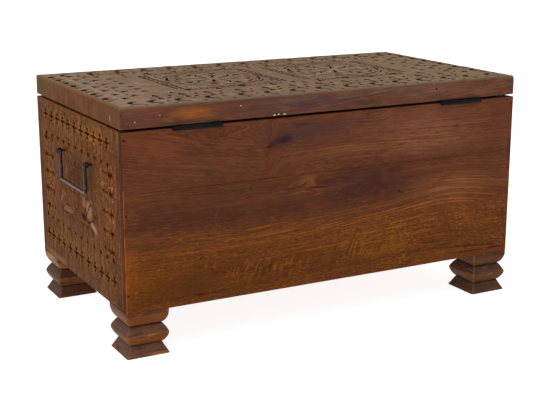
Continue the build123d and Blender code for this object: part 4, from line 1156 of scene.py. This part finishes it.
def rosette(Q, cy=3.0, cz=283.5, hy=115.0, hz=73.5, ground=1.5, full=False):
    """Depth of the carved middle with its leaf, lens and ribs, how dark it is, and how light. full also carves its upper half."""
    y0, z0 = Q[:, 0] - cy, Q[:, 1] - cz
    rr = ((np.abs(y0) / (hy + 2)) ** 6 + (np.abs(z0) / (hz + 2)) ** 6) ** (1 / 6.0)
    g = ground * np.clip((1 - rr) * 14, 0, 1) ** 0.6
    g = g + 0.22 * np.cos(2 * np.pi * (Q[:, 0] * 0.8 + Q[:, 1]) / 23.0) * np.clip((1 - rr) * 8, 0, 1)
    h = np.zeros(len(Q))
    dark = np.zeros(len(Q))
    deep = np.zeros(len(Q))
    lite = np.zeros(len(Q))
    for k in ((1, -1) if full else (1,)):
        y, z = y0 * k + cy, z0 * k + cz
        leaf, gl = patch(y, z, LEAF, 10.0, 1.9)
        petals, gp = patch(y, z, PETALS, 5.0, 1.5)
        tip, gt = patch(y, z, TIP, 6.0, 2.2)
        lens, gn = patch(y, z, LENS, 8.0, 2.4)
        mid = np.clip(1.5 - seg_dist(y, z, MIDRIB) / 1.5, 0, 1) * (leaf > 0)
        fold = np.clip(1.3 - seg_dist(y, z, [(29.5, 273.5), (28.0, 262.0), (30.5, 246.0)]) / 1.1, 0, 1) * (petals > 0)
        ridge = seg_dist(y, z, RIDGE)
        strip = np.clip(1 - seg_dist(y, z, STRIP) / 4.6, 0, 1) ** 0.7
        for a in (leaf - 1.5 * mid, petals - 0.8 * fold, tip, lens, 1.1 * np.clip(1 - ridge / 1.9, 0, 1), 1.3 * strip):
            h = np.maximum(h, a)
        free = (leaf <= 0) & (petals <= 0) & (tip <= 0) & (lens <= 0)
        # fine ribs that fall to the right above the lens, and a few beside the leaf, with painted shade in their
        # troughs and painted highlights on their crests
        for shape, (ny, nz), pitch, amp in ((RIBS, (0.53, 0.848), 5.2, 0.62), (RIBS2, (0.80, 0.60), 6.2, 0.5)):
            m = in_shape(y, z, shape) & free & (strip <= 0)
            f = np.where(m, np.clip(seg_dist(y, z, shape + shape[:1]) / 5.0, 0, 1), 0.0)
            bend = 2.2 * np.sin(y / 17.0)
            w = 0.5 + 0.5 * np.cos(2 * np.pi * (y * ny + z * nz + bend) / pitch)
            h = np.maximum(h, f * (0.35 + amp * w))
            dark = np.maximum(dark, f * 0.11 * (1 - w))
            lite = np.maximum(lite, f * 0.25 * w)
        # the hollow at the leaf's foot, darkened with painted shade
        c, s = math.cos(-0.17), math.sin(-0.17)
        a, b = (y - 27.0) * c + (z - 228.6) * s, -(y - 27.0) * s + (z - 228.6) * c
        hol = np.clip(1 - np.hypot(a / 19.0, b / 8.0), 0, 1) * free
        hol2 = np.clip(1 - np.hypot((y - 96.0) / 9.0, (z - 243.0) / 5.0), 0, 1) * free
        deep = np.maximum(deep, 1.6 * np.clip(hol * 2, 0, 1) + 0.8 * hol2)
        dark = np.maximum(dark, 0.46 * np.clip(hol * 2.0, 0, 1))
        dark = np.maximum(dark, 0.25 * np.clip(hol2 * 2.0, 0, 1))
        # dark lines, partly painted shade: the rib, the notch between leaf and tip, round the lens, beside the ridge,
        # and a painted shadow under the tip
        dark = np.maximum(dark, 0.42 * mid)
        dark = np.maximum(dark, 0.20 * fold)
        dark = np.maximum(dark, 0.40 * np.clip(1.4 - seg_dist(y, z, [(50.5, 221.6), (64.0, 226.2), (78.0, 231.2), (86.0, 233.6)]) / 1.5, 0, 1))
        dark = np.maximum(dark, 0.34 * gn)
        dark = np.maximum(dark, 0.36 * gn * (z > 222) + 0.26 * gp + 0.24 * gl)
        dark = np.maximum(dark, 0.22 * np.clip(1.2 - np.abs(ridge - 3.0) / 1.4, 0, 1) * free)
        dark = np.maximum(dark, 0.26 * gt * (z < 219))
        dark = np.maximum(dark, 0.14 * np.clip(1 - np.abs(y - 109.5) / 2.0, 0, 1) * (z > 224) * (z < 272))
        deep = np.maximum(deep, 0.8 * np.clip(gn + gl + gp + gt, 0, 1) * free)
        # painted highlights: the raised leaf, petals, tip, lens and strip are made paler
        lite = np.maximum(lite, np.clip(leaf - 0.3, 0, 1) * 0.35 * (1 - mid))
        lite = np.maximum(lite, np.clip(petals - 0.3, 0, 1) * 0.25)
        lite = np.maximum(lite, np.clip(tip - 0.3, 0, 1) * 0.6)
        lite = np.maximum(lite, np.clip(lens - 0.3, 0, 1) * 0.5)
        lite = np.maximum(lite, strip * 0.3)
    if not full:
        # above the grip the carving is shallow: a slim leaf by the front leg, broken gouge marks, a scratch
        slim = np.clip(1 - np.hypot((y0 + cy + 71.0 - (Q[:, 1] - 305.0) * 0.36) / 6.5, (Q[:, 1] - 305.0) / 20.0), 0, 1)
        h = np.maximum(h, 1.5 * slim ** 0.6)
        lite = np.maximum(lite, np.clip(slim * 2, 0, 1) * 0.3)
        for i in range(26):
            a, b = 3 + 66 * rnd(i, 71), 318 + 30 * rnd(i, 72)
            if b < 291:
                b = 300 + 8 * rnd(i, 75)
            ang = 1.1 * rnd(i, 73)
            l = 3.5 + 2.0 * rnd(i, 74)
            line = [(a - l * math.cos(ang), b - l * math.sin(ang)), (a + l * math.cos(ang), b + l * math.sin(ang))]
            m = np.clip(1 - seg_dist(Q[:, 0], Q[:, 1], line) / 1.8, 0, 1)
            deep = np.maximum(deep, 0.9 * m)
            if i % 3:
                dark = np.maximum(dark, 0.20 * m)
            else:
                lite = np.maximum(lite, 0.7 * m)
        scratch = np.clip(1 - seg_dist(Q[:, 0], Q[:, 1], [(67.0, 292.0), (83.0, 301.0), (101.0, 308.5)]) / 1.6, 0, 1)
        deep = np.maximum(deep, 0.5 * scratch)
        lite = np.maximum(lite, scratch * 0.9)
        dark = dark * (1 - scratch)
    e = np.minimum(hy - np.abs(y0), hz - np.abs(z0))
    fade = np.clip(e / 4.0, 0, 1)
    d = np.clip(g - np.clip(h, 0, None) + deep, 0.0, 4.0) * fade
    return d, np.clip(dark, 0, 1) * fade, np.clip(lite, 0, 1) * fade


def end_cuts():
    """The border of an end panel, in (Y, z) of the case."""
    c = Cuts()
    up, dn, rt, lf = (0, 1), (0, -1), (1, 0), (-1, 0)
    k = 0
    for y in (-192.7, -155, -117.7, -81.2, -44.7, -7, 31.5, 66.9, 104.6, 140, 174.6):
        corner = abs(y) > 165
        motif(c, (y, 405), dn, 46, 37.3, k, line=not corner)
        k += 7
    for y in (-206, -175.4, -140.8, -105.4, -65.8, -27.3, 7.3, 45.7, 84.2, 122.7, 157.3, 192):
        corner = y < -165 or y > 150
        motif(c, (y, 140), up, 46, -37.3, k, line=not corner)
        k += 7
    for z in (355, 318, 280, 243, 206):
        motif(c, (-198, z), rt, 46, -37.3, k)
        k += 7
    for z in (346, 309, 271, 234, 197):
        motif(c, (188, z), lf, 44, 37.3, k)
        k += 7
    return c


def mirrored(c):
    m = Cuts()
    for P, D, T, tone in c.items:
        m.items.append((P * np.array([-1.0, 1.0]), D, T, tone))
    m.lips = [(-x, y) for x, y in c.lips]
    return m


def front_cuts():
    c = Cuts()
    k = 500
    xs = [-411 + 37.36 * i for i in range(23)]
    for x in xs:
        corner = abs(x) > 390
        motif(c, (x, 405), (0, -1), 40 if abs(x) < 395 else 30, 37.3, k, line=not corner)
        k += 7
    for x in xs:
        corner = abs(x) > 390
        motif(c, (x, 140), (0, 1), 40 if abs(x) < 395 else 30, -37.3, k, line=not corner)
        k += 7
    for z in (355, 318, 280, 243, 206):
        motif(c, (-413, z), (1, 0), 46, -37.3, k)
        motif(c, (413, z), (-1, 0), 46, 37.3, k + 7)
        k += 14
    return c


# ------------------------------------------------------------------ the lid's top
def crescent(c, p, r=14.5, half=5.8, depth=4.5, back=0.0, key=0, sweep=250.0):
    """A C-shaped cut that is fat in the middle of its back; back is where the back points, in degrees."""
    a = back + 9 * rnd(key, 1, 31)
    r *= 1 + 0.08 * rnd(key, 2, 31)
    c.arc((p[0] - r * 0.8 * math.cos(math.radians(a)), p[1] - r * 0.8 * math.sin(math.radians(a))), r, a - sweep / 2, a + sweep / 2, half, depth, n=10, peak=0.46, fat=0.5)


def wedge(c, p, q, half, depth=3.4, bend=0.0):
    """A cut that starts blunt and runs out to a point."""
    c.lens(p, q, half, depth, n=6, bend=bend, peak=0.28)


def head(c, p, d, w=13.0, l=17.0, depth=4.2, key=0, k=1.34):
    """A deep arrowhead chip that points along d, cut by hand."""
    s = (-d[1], d[0])
    w, l = w * k, l * k
    j = [1.1 * rnd(key, i, 41) for i in range(6)]
    c.chip(sub(p, d, -l / 2 + j[0], s, w / 2 + j[1]), sub(p, d, -l / 2 + j[2], s, -w / 2 + j[3]), sub(p, d, l / 2 + j[4], s, j[5]), depth)


def medallion(c, m, R, key=0):
    k = R / 104.0

    def at(r, deg):
        return (m[0] + r * k * math.cos(math.radians(deg)), m[1] + r * k * math.sin(math.radians(deg)))

    for i in range(8):
        b = 45 * i + 4 * rnd(i, key, 81)
        for sgn in (-1, 1):
            c.lens(at(9, b + sgn * 4), at(74, b + sgn * 2), 2.9 * k, 3.8, n=8, bend=sgn * 14.5 * k, peak=0.42)   # a petal's outline
        c.tone = 0.9
        c.lens(at(20, b), at(46, b), 3.2 * k, 1.2, n=4)                               # its light middle
        c.tone = 0.0
        c.lens(at(52, b), at(66, b), 2.0 * k, 2.2, n=4, peak=0.6)
        a = 45 * i + 22.5
        c.chip(at(80, a - 9), at(80, a + 9), at(58, a), 4.2)                          # between two petals
        c.arc(m, 83.5 * k, b - 13, b + 13, 3.2 * k, 3.6, n=6, peak=0.5, fat=0.5)
    for i in range(24):
        a = 15 * i
        dot(c, at(91.0, a + 3.6), 2.6, 2.0, a, 0.2)
    for i in range(8):
        a = 45 * i + 8
        c.arc(m, 97.5 * k, a, a + 41, 3.4 * k, 3.8, n=9, peak=0.45, fat=0.5)
    for i in range(8):
        a = 45 * i - 14
        c.arc(m, 106.0 * k, a, a + 30, 2.6 * k, 2.6, n=7, peak=0.55)


def frame_line(c, p, q, key=0, inward=1):
    """Two scored lines with a zigzag of chips between them."""
    l = math.hypot(q[0] - p[0], q[1] - p[1])
    d = ((q[0] - p[0]) / l, (q[1] - p[1]) / l)
    s = (-d[1] * inward, d[0] * inward)
    c.line(sub(p, d, 0, s, 6.5), sub(q, d, 0, s, 6.5), 2.5, 3.1, step=22, wob=0.5, key=key)
    c.line(sub(p, d, 0, s, -6.5), sub(q, d, 0, s, -6.5), 2.5, 3.1, step=22, wob=0.5, key=key + 9)
    n = int(l / 12)
    for i in range(n):
        a = (i + 0.5) * l / n
        g = 1 if i % 2 else -1
        c.chip(sub(p, d, a - 5.4, s, 3.7 * g), sub(p, d, a + 5.4, s, 3.7 * g), sub(p, d, a + rnd(i, key, 51), s, -3.4 * g), 3.4)


def lid_cuts():
    c = Cuts()
    up, dn, rt, lf = (0, 1), (0, -1), (1, 0), (-1, 0)
    k = 900
    for m, R, (fx0, fx1) in (((138, -18), 104.0, (24, 258)), ((-159, -22), 106.0, (-273, -35))):
        medallion(c, m, R)
        fy0, fy1 = -137.0, 98.0
        frame_line(c, (fx0 + 9, fy1), (fx1 - 9, fy1), k, -1)
        frame_line(c, (fx0 + 9, fy0), (fx1 - 9, fy0), k + 3, 1)
        frame_line(c, (fx0, fy0 + 9), (fx0, fy1 - 9), k + 5, -1)
        frame_line(c, (fx1, fy0 + 9), (fx1, fy1 - 9), k + 7, 1)
        k += 30
        for sx in (-1, 1):
            for sy in (-1, 1):
                q = (m[0] + sx * 93, m[1] + sy * 93)
                dot(c, q, 4.4, 3.0, 90 + 90 * sy)
                wedge(c, (q[0] - sx * 5, q[1] + sy * 3), (q[0] - sx * 28, q[1] + sy * 7), 3.0, 2.8)
                wedge(c, (q[0] + sx * 3, q[1] - sy * 5), (q[0] + sx * 7, q[1] - sy * 28), 3.0, 2.8)
    # along the rear edge: a row of crescents, then pairs of heads with V cuts, then deep chips over the frame
    for i, x in enumerate((409, 368, 315, 253, 182, 126, 68, 9, -56, -118, -174, -235, -297, -356, -412)):
        crescent(c, (x, 206), key=k + i)
        if i < 14:
            head(c, (x - 34 + 2 * rnd(i, 61), 200), (0, -1), 9.0, 10.0, 3.2, k + i)
    for i in range(29):
        x = 421 - 30 * i
        c.chip((x - 8, 227.5), (x + 8, 227.5), (x + rnd(i, 62), 237), 3.0)
    for i, x in enumerate((338, 282, 229, 162, 100, 38, -24, -86, -141, -204, -271, -330)):
        head(c, (x, 172), dn, 13.0, 17.0, 4.2, k + 20 + i)
        c.line((x + rnd(i, 63), 165), (x + rnd(i, 64), 147), 2.7, 3.2, step=9, wob=0.4, key=k + i)
        head(c, (x + rnd(i, 65), 139), dn, 13.5, 18.0, 4.4, k + 40 + i)
        wedge(c, (x + 10, 181), (x + 26, 167), 4.3, 3.8)
        wedge(c, (x - 10, 181), (x - 26, 167), 4.3, 3.8)
        wedge(c, (x - 26, 157), (x - 33, 141), 4.4, 3.8, bend=1.5)
    for i, x in enumerate((250, 188, 129, 65, 12, -47, -115, -174, -238, -297)):
        head(c, (x, 106), dn if i % 2 else up, 12.0, 22.0, 4.2, k + 60 + i)
    # along the front edge
    for i in range(14):
        x = 403 - 62 * i
        crescent(c, (x, -208), key=k + 70 + i)
        head(c, (x - 32, -202), (0, 1), 9.0, 10.0, 3.2, k + 80 + i)
    for i in range(29):
        x = 421 - 30 * i
        c.chip((x - 8, -227.5), (x + 8, -227.5), (x + rnd(i, 66), -237), 3.0)
    for i, x in enumerate((346, 288, 232, 168, 103, 47, -12, -62, -124, -184, -244, -304, -352)):
        head(c, (x, -184), up, 12.0, 15.0, 4.0, k + 90 + i)
        head(c, (x + rnd(i, 67), -154), up, 13.0, 18.0, 4.3, k + 100 + i)
        wedge(c, (x + 10, -190), (x + 25, -177), 4.1, 3.7)
        wedge(c, (x - 10, -190), (x - 25, -177), 4.1, 3.7)
        if i % 2:
            wedge(c, (x - 28, -170), (x - 33, -154), 4.2, 3.6, bend=-1.5)
    # the two end columns
    for sx in (1, -1):
        e = (-1, 0) if sx > 0 else (1, 0)
        for i, y in enumerate((-190, -143, -93, -43, 16, 72, 137)):
            crescent(c, (sx * 433 + (4 if sx < 0 else 0), y), r=14.0, half=6.0, depth=4.5, back=0.0 if sx > 0 else 12.0, key=k + 120 + i)
            head(c, (sx * 430, y + 25), e, 10.0, 15.0, 3.6, k + 130 + i)
        for i, y in enumerate((-190, -136, -81, -22, 34, 90, 143)):
            head(c, (sx * 394, y + 2 * rnd(i, 68)), e, 20.0, 15.0, 4.5, k + 140 + i)
        for i, y in enumerate((-165, -108, -50, 6, 62, 117)):
            head(c, (sx * 364, y + 2 * rnd(i, 69)), e, 17.0, 16.0, 4.5, k + 150 + i)
            wedge(c, (sx * 384, y - 9), (sx * 372, y - 22), 3.8, 3.6)
            wedge(c, (sx * 384, y + 9), (sx * 372, y + 22), 3.8, 3.6)
        for i, y in enumerate((-113, -78, -43, 7, 41, 75)):
            head(c, (sx * 329, y), e, 13.0 if i % 2 else 17.0, 15.0, 4.3, k + 160 + i)
    # a chip in each plain band's ends
    for x in (292, -5, -302):
        for y, d in ((116, dn), (-128, up)):
            head(c, (x, y), d, 11.0, 14.0, 3.6, k + int(x))
    return c


# ------------------------------------------------------------------ the case
W = {}
NAIL = 2.2
c = Cuts()
for x in (-443.5, 443.5):
    for z in (126.0, 280.0):
        c.pit((x, z), NAIL, 0.8)
W["back_lower"] = board("back_board_lower_wood", "rear", (-HX, HX, Z0, ZJ), c,
                        [(0, 0, 0, 0, LIP, 0), (BT, BT, FT, .3, LIP, 1), (BT, BT, FT, .3, 19.4, 1), (BT + .6, BT + .6, FT + .6, .9, 20, 1)],
                        (1.1, 1.1, 1.0, 0.35), [M["back"], M["inner_x"]], "case", ["back_board_lower"], seed=2, bottom=(10.0, 0.5))
c = Cuts()
for x in (-443.5, 443.5):
    c.pit((x, 421.0), NAIL, 0.8)
W["back_upper"] = board("back_board_upper_wood", "rear", (-HX, HX, ZJ, Z1), c,
                        [(0, 0, 0, 0, LIP, 0), (BT, BT, .3, .3, LIP, 1), (BT, BT, .3, .3, 19.4, 1), (BT + .6, BT + .6, .9, .9, 20, 1)],
                        (1.1, 1.1, 0.35, 1.3), [M["back"], M["inner_x"]], "case", ["back_board_upper"], seed=3)

c = front_cuts()
for x in (-443.5, 443.5):
    for z in (126.0, 280.0, 421.0):
        c.pit((x, z), NAIL, 0.8)


def front_relief(Q):
    out = [np.zeros(len(Q)) for i in range(3)]
    for k, x0 in enumerate((-230.0, 0.0, 230.0)):
        m = np.abs(Q[:, 0] - x0) < 115.0
        q = Q[m].copy()
        q[:, 0] = (q[:, 0] - x0) * (-1 if k == 2 else 1) + 3.0
        for o, r in zip(out, rosette(q, full=True)):
            o[m] = r
    return out


W["front"] = board("front_panel_carved", "front", (-HX, HX, Z0, Z1), c,
                   [(0, 0, 0, 0, LIP, 0), (BT, BT, FT, .3, LIP, 1), (BT, BT, FT, .3, 19.4, 1), (BT + .6, BT + .6, FT + .6, .9, 20, 1)],
                   (1.1, 1.1, 1.0, 1.3), [M["front"], M["inner_x"]], "case", ["front_panel"], seed=5, bottom=(10.0, 0.5),
                   relief=(-345.0, 345.0, 210.0, 357.0, 2.0), relief_fn=front_relief)

for side, sx in (("right", 1), ("left", -1)):
    c = end_cuts()
    if sx < 0:
        c = mirrored(c)
    for y in (-80.8 + 3, 80.8 + 3):
        c.pit((y * sx, 346.5), 3.2, 2.0)
    # the panel's own holes for the staples' legs go right through the carving's ground
    W["end_" + side] = board("end_panel_" + side + "_carved", side, (-PY, PY, Z0, Z1), c,
                             [(0, 0, 0, 0, LIP, 0), (.3, .3, FT, .3, LIP, 1), (.3, .3, FT, .3, 19.4, 1), (.9, .9, FT + .6, .9, 20, 1)],
                             (0.5, 0.5, 1.0, 1.3), [M["end"], M["inner_end"]], "case", ["end_panel_" + side], seed=6 + sx, bottom=(10.0, 0.5),
                             relief=(3.0 * sx - 115, 3.0 * sx + 115, 210.0, 357.0, 1.25), relief_fn=lambda Q, sx=sx: rosette(Q * np.array([sx, 1.0])))


# ------------------------------------------------------------------ the feet
def lobe(u, w):
    """A lobe's outline from its tip, at 0, to the valley, at 1: straight and round shares."""
    f = (math.hypot(u, 0.16) - 0.16) / (math.hypot(1, 0.16) - 0.16)
    return w * f + (1 - w) * (1 - math.sqrt(max(0.0, 1 - u * u)))


US = (1, 0.985, 0.96, 0.92, 0.86, 0.78, 0.68, 0.57, 0.45, 0.33, 0.22, 0.12, 0.05)
PROFILE = [(0, 0.9), (0.5, 0.35), (1.2, 0.05), (3, 1.0), (6, 2.6), (9, 4.2), (13, 6.3), (17, 8.5), (20, 10.1), (22, 11.2), (22.6, 11.6)]
PROFILE += [(42.2 - 19.0 * u, 11.6 * lobe(u, 0.5)) for u in US]
PROFILE += [(42.2 + 19.0 * u, 11.8 * lobe(u, 0.7)) for u in reversed(US)]
PROFILE += [(84 - 22.0 * u, 11.8 * lobe(u, 0.25)) for u in US] + [(86, 0.0), (89.2, 0.0), (90, 0.3)]


def foot(name, node):
    lo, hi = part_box(node)
    x0, x1 = lo.x * 1000, hi.x * 1000
    y0, y1 = (lo.y - CY) * 1000, (hi.y - CY) * 1000
    cx, cy, hx, hy = (x0 + x1) / 2, (y0 + y1) / 2, (x1 - x0) / 2, (y1 - y0) / 2
    per, arcn = 12, 4
    b = Build()
    loops = []
    sd = cx * 0.013 + cy * 0.029
    for li, (z, ins) in enumerate(PROFILE):
        rc = 1.8 + 0.5 * rnd(z / 9.0, sd)
        ax, ay = hx - ins, hy - ins
        loop = []
        for k in range(4):
            # corners go round counter-clockwise from +X +Y
            sx, sy = ((1, 1), (-1, 1), (-1, -1), (1, -1))[k]
            ccx, ccy = sx * (ax - rc), sy * (ay - rc)
            a0 = 90 * k
            for i in range(arcn + 1):
                a = math.radians(a0 + 90 * i / arcn)
                loop.append((ccx + rc * math.cos(a), ccy + rc * math.sin(a), math.cos(a), math.sin(a), 1.0))
            nx, ny = ((-1, 1), (-1, -1), (1, -1), (1, 1))[k]
            e = (nx * (ax - rc), sy * ay) if k % 2 == 0 else (sx * ax, ny * (ay - rc))
            st = (ccx + rc * math.cos(math.radians(a0 + 90)), ccy + rc * math.sin(math.radians(a0 + 90)))
            nrm = (math.cos(math.radians(a0 + 90)), math.sin(math.radians(a0 + 90)))
            for i in range(1, per):
                t = i / per
                loop.append((st[0] + (e[0] - st[0]) * t, st[1] + (e[1] - st[1]) * t, nrm[0], nrm[1], 0.0))
        row = []
        tip = max(0.0, 1 - abs(z - 42.2) / 4.0, 1 - z / 3.0)
        # painted shade in the valleys between the lobes, carried as a cut value
        valley_shade = max(0.0, 1 - abs(z - 22.8) / 2.6, 1 - abs(z - 61.8) / 2.6)
        for x, y, nx, ny, corner in loop:
            n = 0.5 + 0.5 * mnoise.noise(Vector((x / 16.0 + sd, y / 16.0, z / 11.0)))
            n2 = 0.5 + 0.5 * mnoise.noise(Vector((x / 5.0, y / 5.0 + sd, z / 30.0)))
            m = 0.55 * n + 0.3 * n2
            # gouge marks run up the faces, and the sharp corners are knocked back here and there
            if corner:
                m += 1.1 * max(0.0, mnoise.noise(Vector((x / 30.0, y / 30.0 + sd, z / 7.0)))) * (0.4 + tip)
            if z > 88 or z < 1:
                m *= 0.4
            row.append(b.vert((cx + x - nx * m, cy + y - ny * m, z), valley_shade * 0.32, min(1.0, 0.62 * corner + tip * 0.6)))
        loops.append(row)
    n = len(loops[0])
    for r0, r1 in zip(loops, loops[1:]):
        for i in range(n):
            j = (i + 1) % n
            b.face([r0[i], r0[j], r1[j], r1[i]])
    bot = b.vert((cx, cy, 0.0), 0.0, 0.3)
    top = b.vert((cx, cy, PROFILE[-1][0]), 0.0, 0.0)
    for i in range(n):
        j = (i + 1) % n
        b.face([loops[0][j], loops[0][i], bot])
        b.face([loops[-1][i], loops[-1][j], top])
    return b.make(name, [M["foot"]], "case", [node], angle=28.0)


for node in ("foot_front_left", "foot_front_right", "foot_rear_left", "foot_rear_right"):
    W[node] = foot(node + "_carved", node)


# ------------------------------------------------------------------ the lid
def rim_pits(face_sign):
    c = Cuts()
    for x in (-1, 1):
        c.pit((x * 446.0 * face_sign, 467.0), 0.9, 0.6)
        c.pit((x * 441.0 * face_sign, 450.0), 0.9, 0.6)
    return c


for side, sx in (("rear", 1), ("front", -1)):
    W["rim_" + side] = board("lid_rim_" + side + "_wood", side, (-HX, HX, Z2, Z3), rim_pits(sx),
                             [(0, 0, 0, 0, LIP, 0), (BT, BT, .3, BT, LIP, 1), (BT, BT, .3, BT, 19.4, 1), (BT + .6, BT + .6, .9, BT + .6, 20, 1)],
                             (3.0, 3.0, 1.2, 3.2), [M["rim_long"], M["under"]], "lid", ["lid_rim_" + side], seed=11 + sx, step=12.0,
                             rows=(0.3, 0.8, 1.5, 2.3, 3.3, 4.5), vary=0.85)
for side, sx in (("right", 1), ("left", -1)):
    W["rim_" + side] = board("lid_rim_" + side + "_wood", side, (-PY, PY, Z2, Z3), Cuts(),
                             [(0, 0, 0, 0, LIP, 0), (.3, .3, .3, BT, LIP, 1), (.3, .3, .3, BT, 19.4, 1), (.9, .9, .9, BT + .6, 20, 1)],
                             (0.4, 0.4, 1.2, 3.2), [M["rim_end"], M["under"]], "lid", ["lid_rim_" + side], seed=15 + sx, step=12.0,
                             rows=(0.3, 0.8, 1.5, 2.3, 3.3, 4.5), vary=0.85)


def lid_planks():
    c = lid_cuts()
    nx = 60
    xs = [-PX + 2 * PX * i / nx for i in range(nx + 1)]
    lines = [[(x, s * PJ + o) for x in xs] for s in (-1, 1) for o in (-0.35, 0.0, 0.35)]
    Q, T = triangulate(-PX, PX, -PY, PY, c, step=13.0, rows=(0.5, 1.5), lines=lines)
    for s in (-1, 1):
        Q[np.abs(Q[:, 1] - s * PJ) < 2e-3, 1] = s * PJ
    d, cut, wear_and_highlight = c.depth(Q)
    w = wave(Q, 21, 0.3) - d
    for s in (-1, 1):
        m = np.abs(Q[:, 1] - s * PJ) < 1e-4
        w[m] -= 0.4
        cut[m] = np.maximum(cut[m], 0.7)
    # the arrises next to a cut are worn
    for k, (name, v0, v1) in enumerate((("lid_plank_front", -PY, -PJ), ("lid_plank_middle", -PJ, PJ), ("lid_plank_rear", PJ, PY))):
        Tk = [t for t in T if v0 < (Q[t[0], 1] + Q[t[1], 1] + Q[t[2], 1]) / 3 < v1]
        used = sorted(set(i for t in Tk for i in t))
        idx = {o: n for n, o in enumerate(used)}
        Tk = [tuple(idx[i] for i in t) for t in Tk]
        Qk, wk, ck, ek = Q[used].copy(), w[used].copy(), cut[used].copy(), wear_and_highlight[used].copy()
        rect = (-PX, PX, v0, v1)
        ring = border(Qk, Tk, *rect)
        rounding(Qk, wk, ek, *rect, (0.5, 0.5, 0.5 if k == 0 else 0.01, 0.5 if k == 2 else 0.01), vary=0.2, seed=30 + k)
        b = Build()
        shell(b, "top", Qk, wk, ck, ek, Tk, ring, rect, [(.05, .05, .05, .05, 3.5, 0), (.05, .05, .05, .05, 19.4, 1), (.6, .6, .6, .6, 20, 1)])
        W[name] = b.make(name + "_carved", [M["top"], M["under"]], "lid", [name])


lid_planks()


# ------------------------------------------------------------------ the pieces kept from the CAD
def dress(node, mat, bevel=0.0, seg=2, smooth=30.0):
    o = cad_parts[node]
    o.data.materials.clear()
    o.data.materials.append(mat)
    if bevel:
        m = o.modifiers.new("bevel", "BEVEL")
        m.width = bevel / 1000
        m.segments = seg
        m.limit_method = "ANGLE"
        m.angle_limit = math.radians(40)
    return o


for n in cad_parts:
    if n.startswith("floor_board"):
        dress(n, M["inner_y"], 0.6)
    elif n.startswith("lid_batten_") and "screws" not in n:
        dress(n, M["inner_y"], 0.8)
    elif n.startswith("hinge_") and "screws" not in n:
        dress(n, M["hinge"])
    elif n.startswith("handle_"):
        dress(n, M["handle"])
    elif "screws" in n:
        dress(n, M["screw"])
    elif "nails" in n:
        dress(n, M["nail"])
    elif "dowels" in n:
        dress(n, M["inner_x"])
    elif n == "lid_rest_pads":
        dress(n, M["pad"], 0.5)

# ------------------------------------------------------------------ camera, floor and light
cam_data = bpy.data.cameras.new("camera")
cam_data.sensor_fit = "HORIZONTAL"
cam_data.sensor_width = 36.0
cam_data.lens = 75.3747
cam_data.clip_start, cam_data.clip_end = 0.05, 60.0
cam = bpy.data.objects.new("camera", cam_data)
bpy.context.scene.collection.objects.link(cam)
_y, _p, _r = (math.radians(a) for a in (-118.43993, -14.35211, 0.04293))
_f = Vector((math.cos(_p) * math.cos(_y), math.cos(_p) * math.sin(_y), math.sin(_p)))
_x = _f.cross(Vector((0, 0, 1))).normalized()
_u = _x.cross(_f)
_x2 = math.cos(_r) * _x + math.sin(_r) * _u
_u2 = -math.sin(_r) * _x + math.cos(_r) * _u
cam.matrix_world = Matrix(((_x2.x, _u2.x, -_f.x, 1.17338), (_x2.y, _u2.y, -_f.y, 2.16793 + CY), (_x2.z, _u2.z, -_f.z, 0.82159), (0, 0, 0, 1)))
bpy.context.scene.camera = cam

t = Tree("floor_paper")
P = t.obj()
n = t.noise(t.vm("SCALE", P, scale=1 / 700.0), detail=2.0)
t.put(t.b.inputs["Base Color"], t.ramp(n, [(0.3, srgb(201, 201, 201)), (0.7, srgb(206, 206, 206))]))
t.b.inputs["Emission Color"].default_value = (1.0, 1.0, 1.0, 1.0)
t.b.inputs["Emission Strength"].default_value = 0.85
t.b.inputs["Roughness"].default_value = 0.9
t.b.inputs["Specular IOR Level"].default_value = 0.0
fm = bpy.data.meshes.new("floor")
fm.from_pydata([(-30, -30, -0.0002), (30, -30, -0.0002), (30, 30, -0.0002), (-30, 30, -0.0002)], [], [(0, 1, 2, 3)])
fm.materials.append(t.mat)
floor = bpy.data.objects.new("floor", fm)
bpy.context.scene.collection.objects.link(floor)

world = bpy.data.worlds.new("studio")
world.use_nodes = True
world.node_tree.nodes["Background"].inputs["Color"].default_value = (1, 1, 1, 1)
world.node_tree.nodes["Background"].inputs["Strength"].default_value = 0.55
bpy.context.scene.world = world


def softbox(name, loc, target, size, power, color=(1, 1, 1)):
    l = bpy.data.lights.new(name, "AREA")
    l.shape = "RECTANGLE"
    l.size, l.size_y = size
    l.energy = power
    l.color = color
    o = bpy.data.objects.new(name, l)
    bpy.context.scene.collection.objects.link(o)
    o.location = loc
    o.rotation_mode = "QUATERNION"
    o.rotation_quaternion = (Vector(target) - Vector(loc)).to_track_quat("-Z", "Y")
    return o


softbox("overhead", (0.2, 0.2, 3.2), (0, 0, 0.2), (3.0, 3.0), 55)
softbox("key", (2.6, 1.6, 2.4), (0.1, 0, 0.25), (1.6, 1.6), 14)
bpy.context.scene.view_settings.view_transform = "Standard"
bpy.context.scene.view_settings.look = "None"
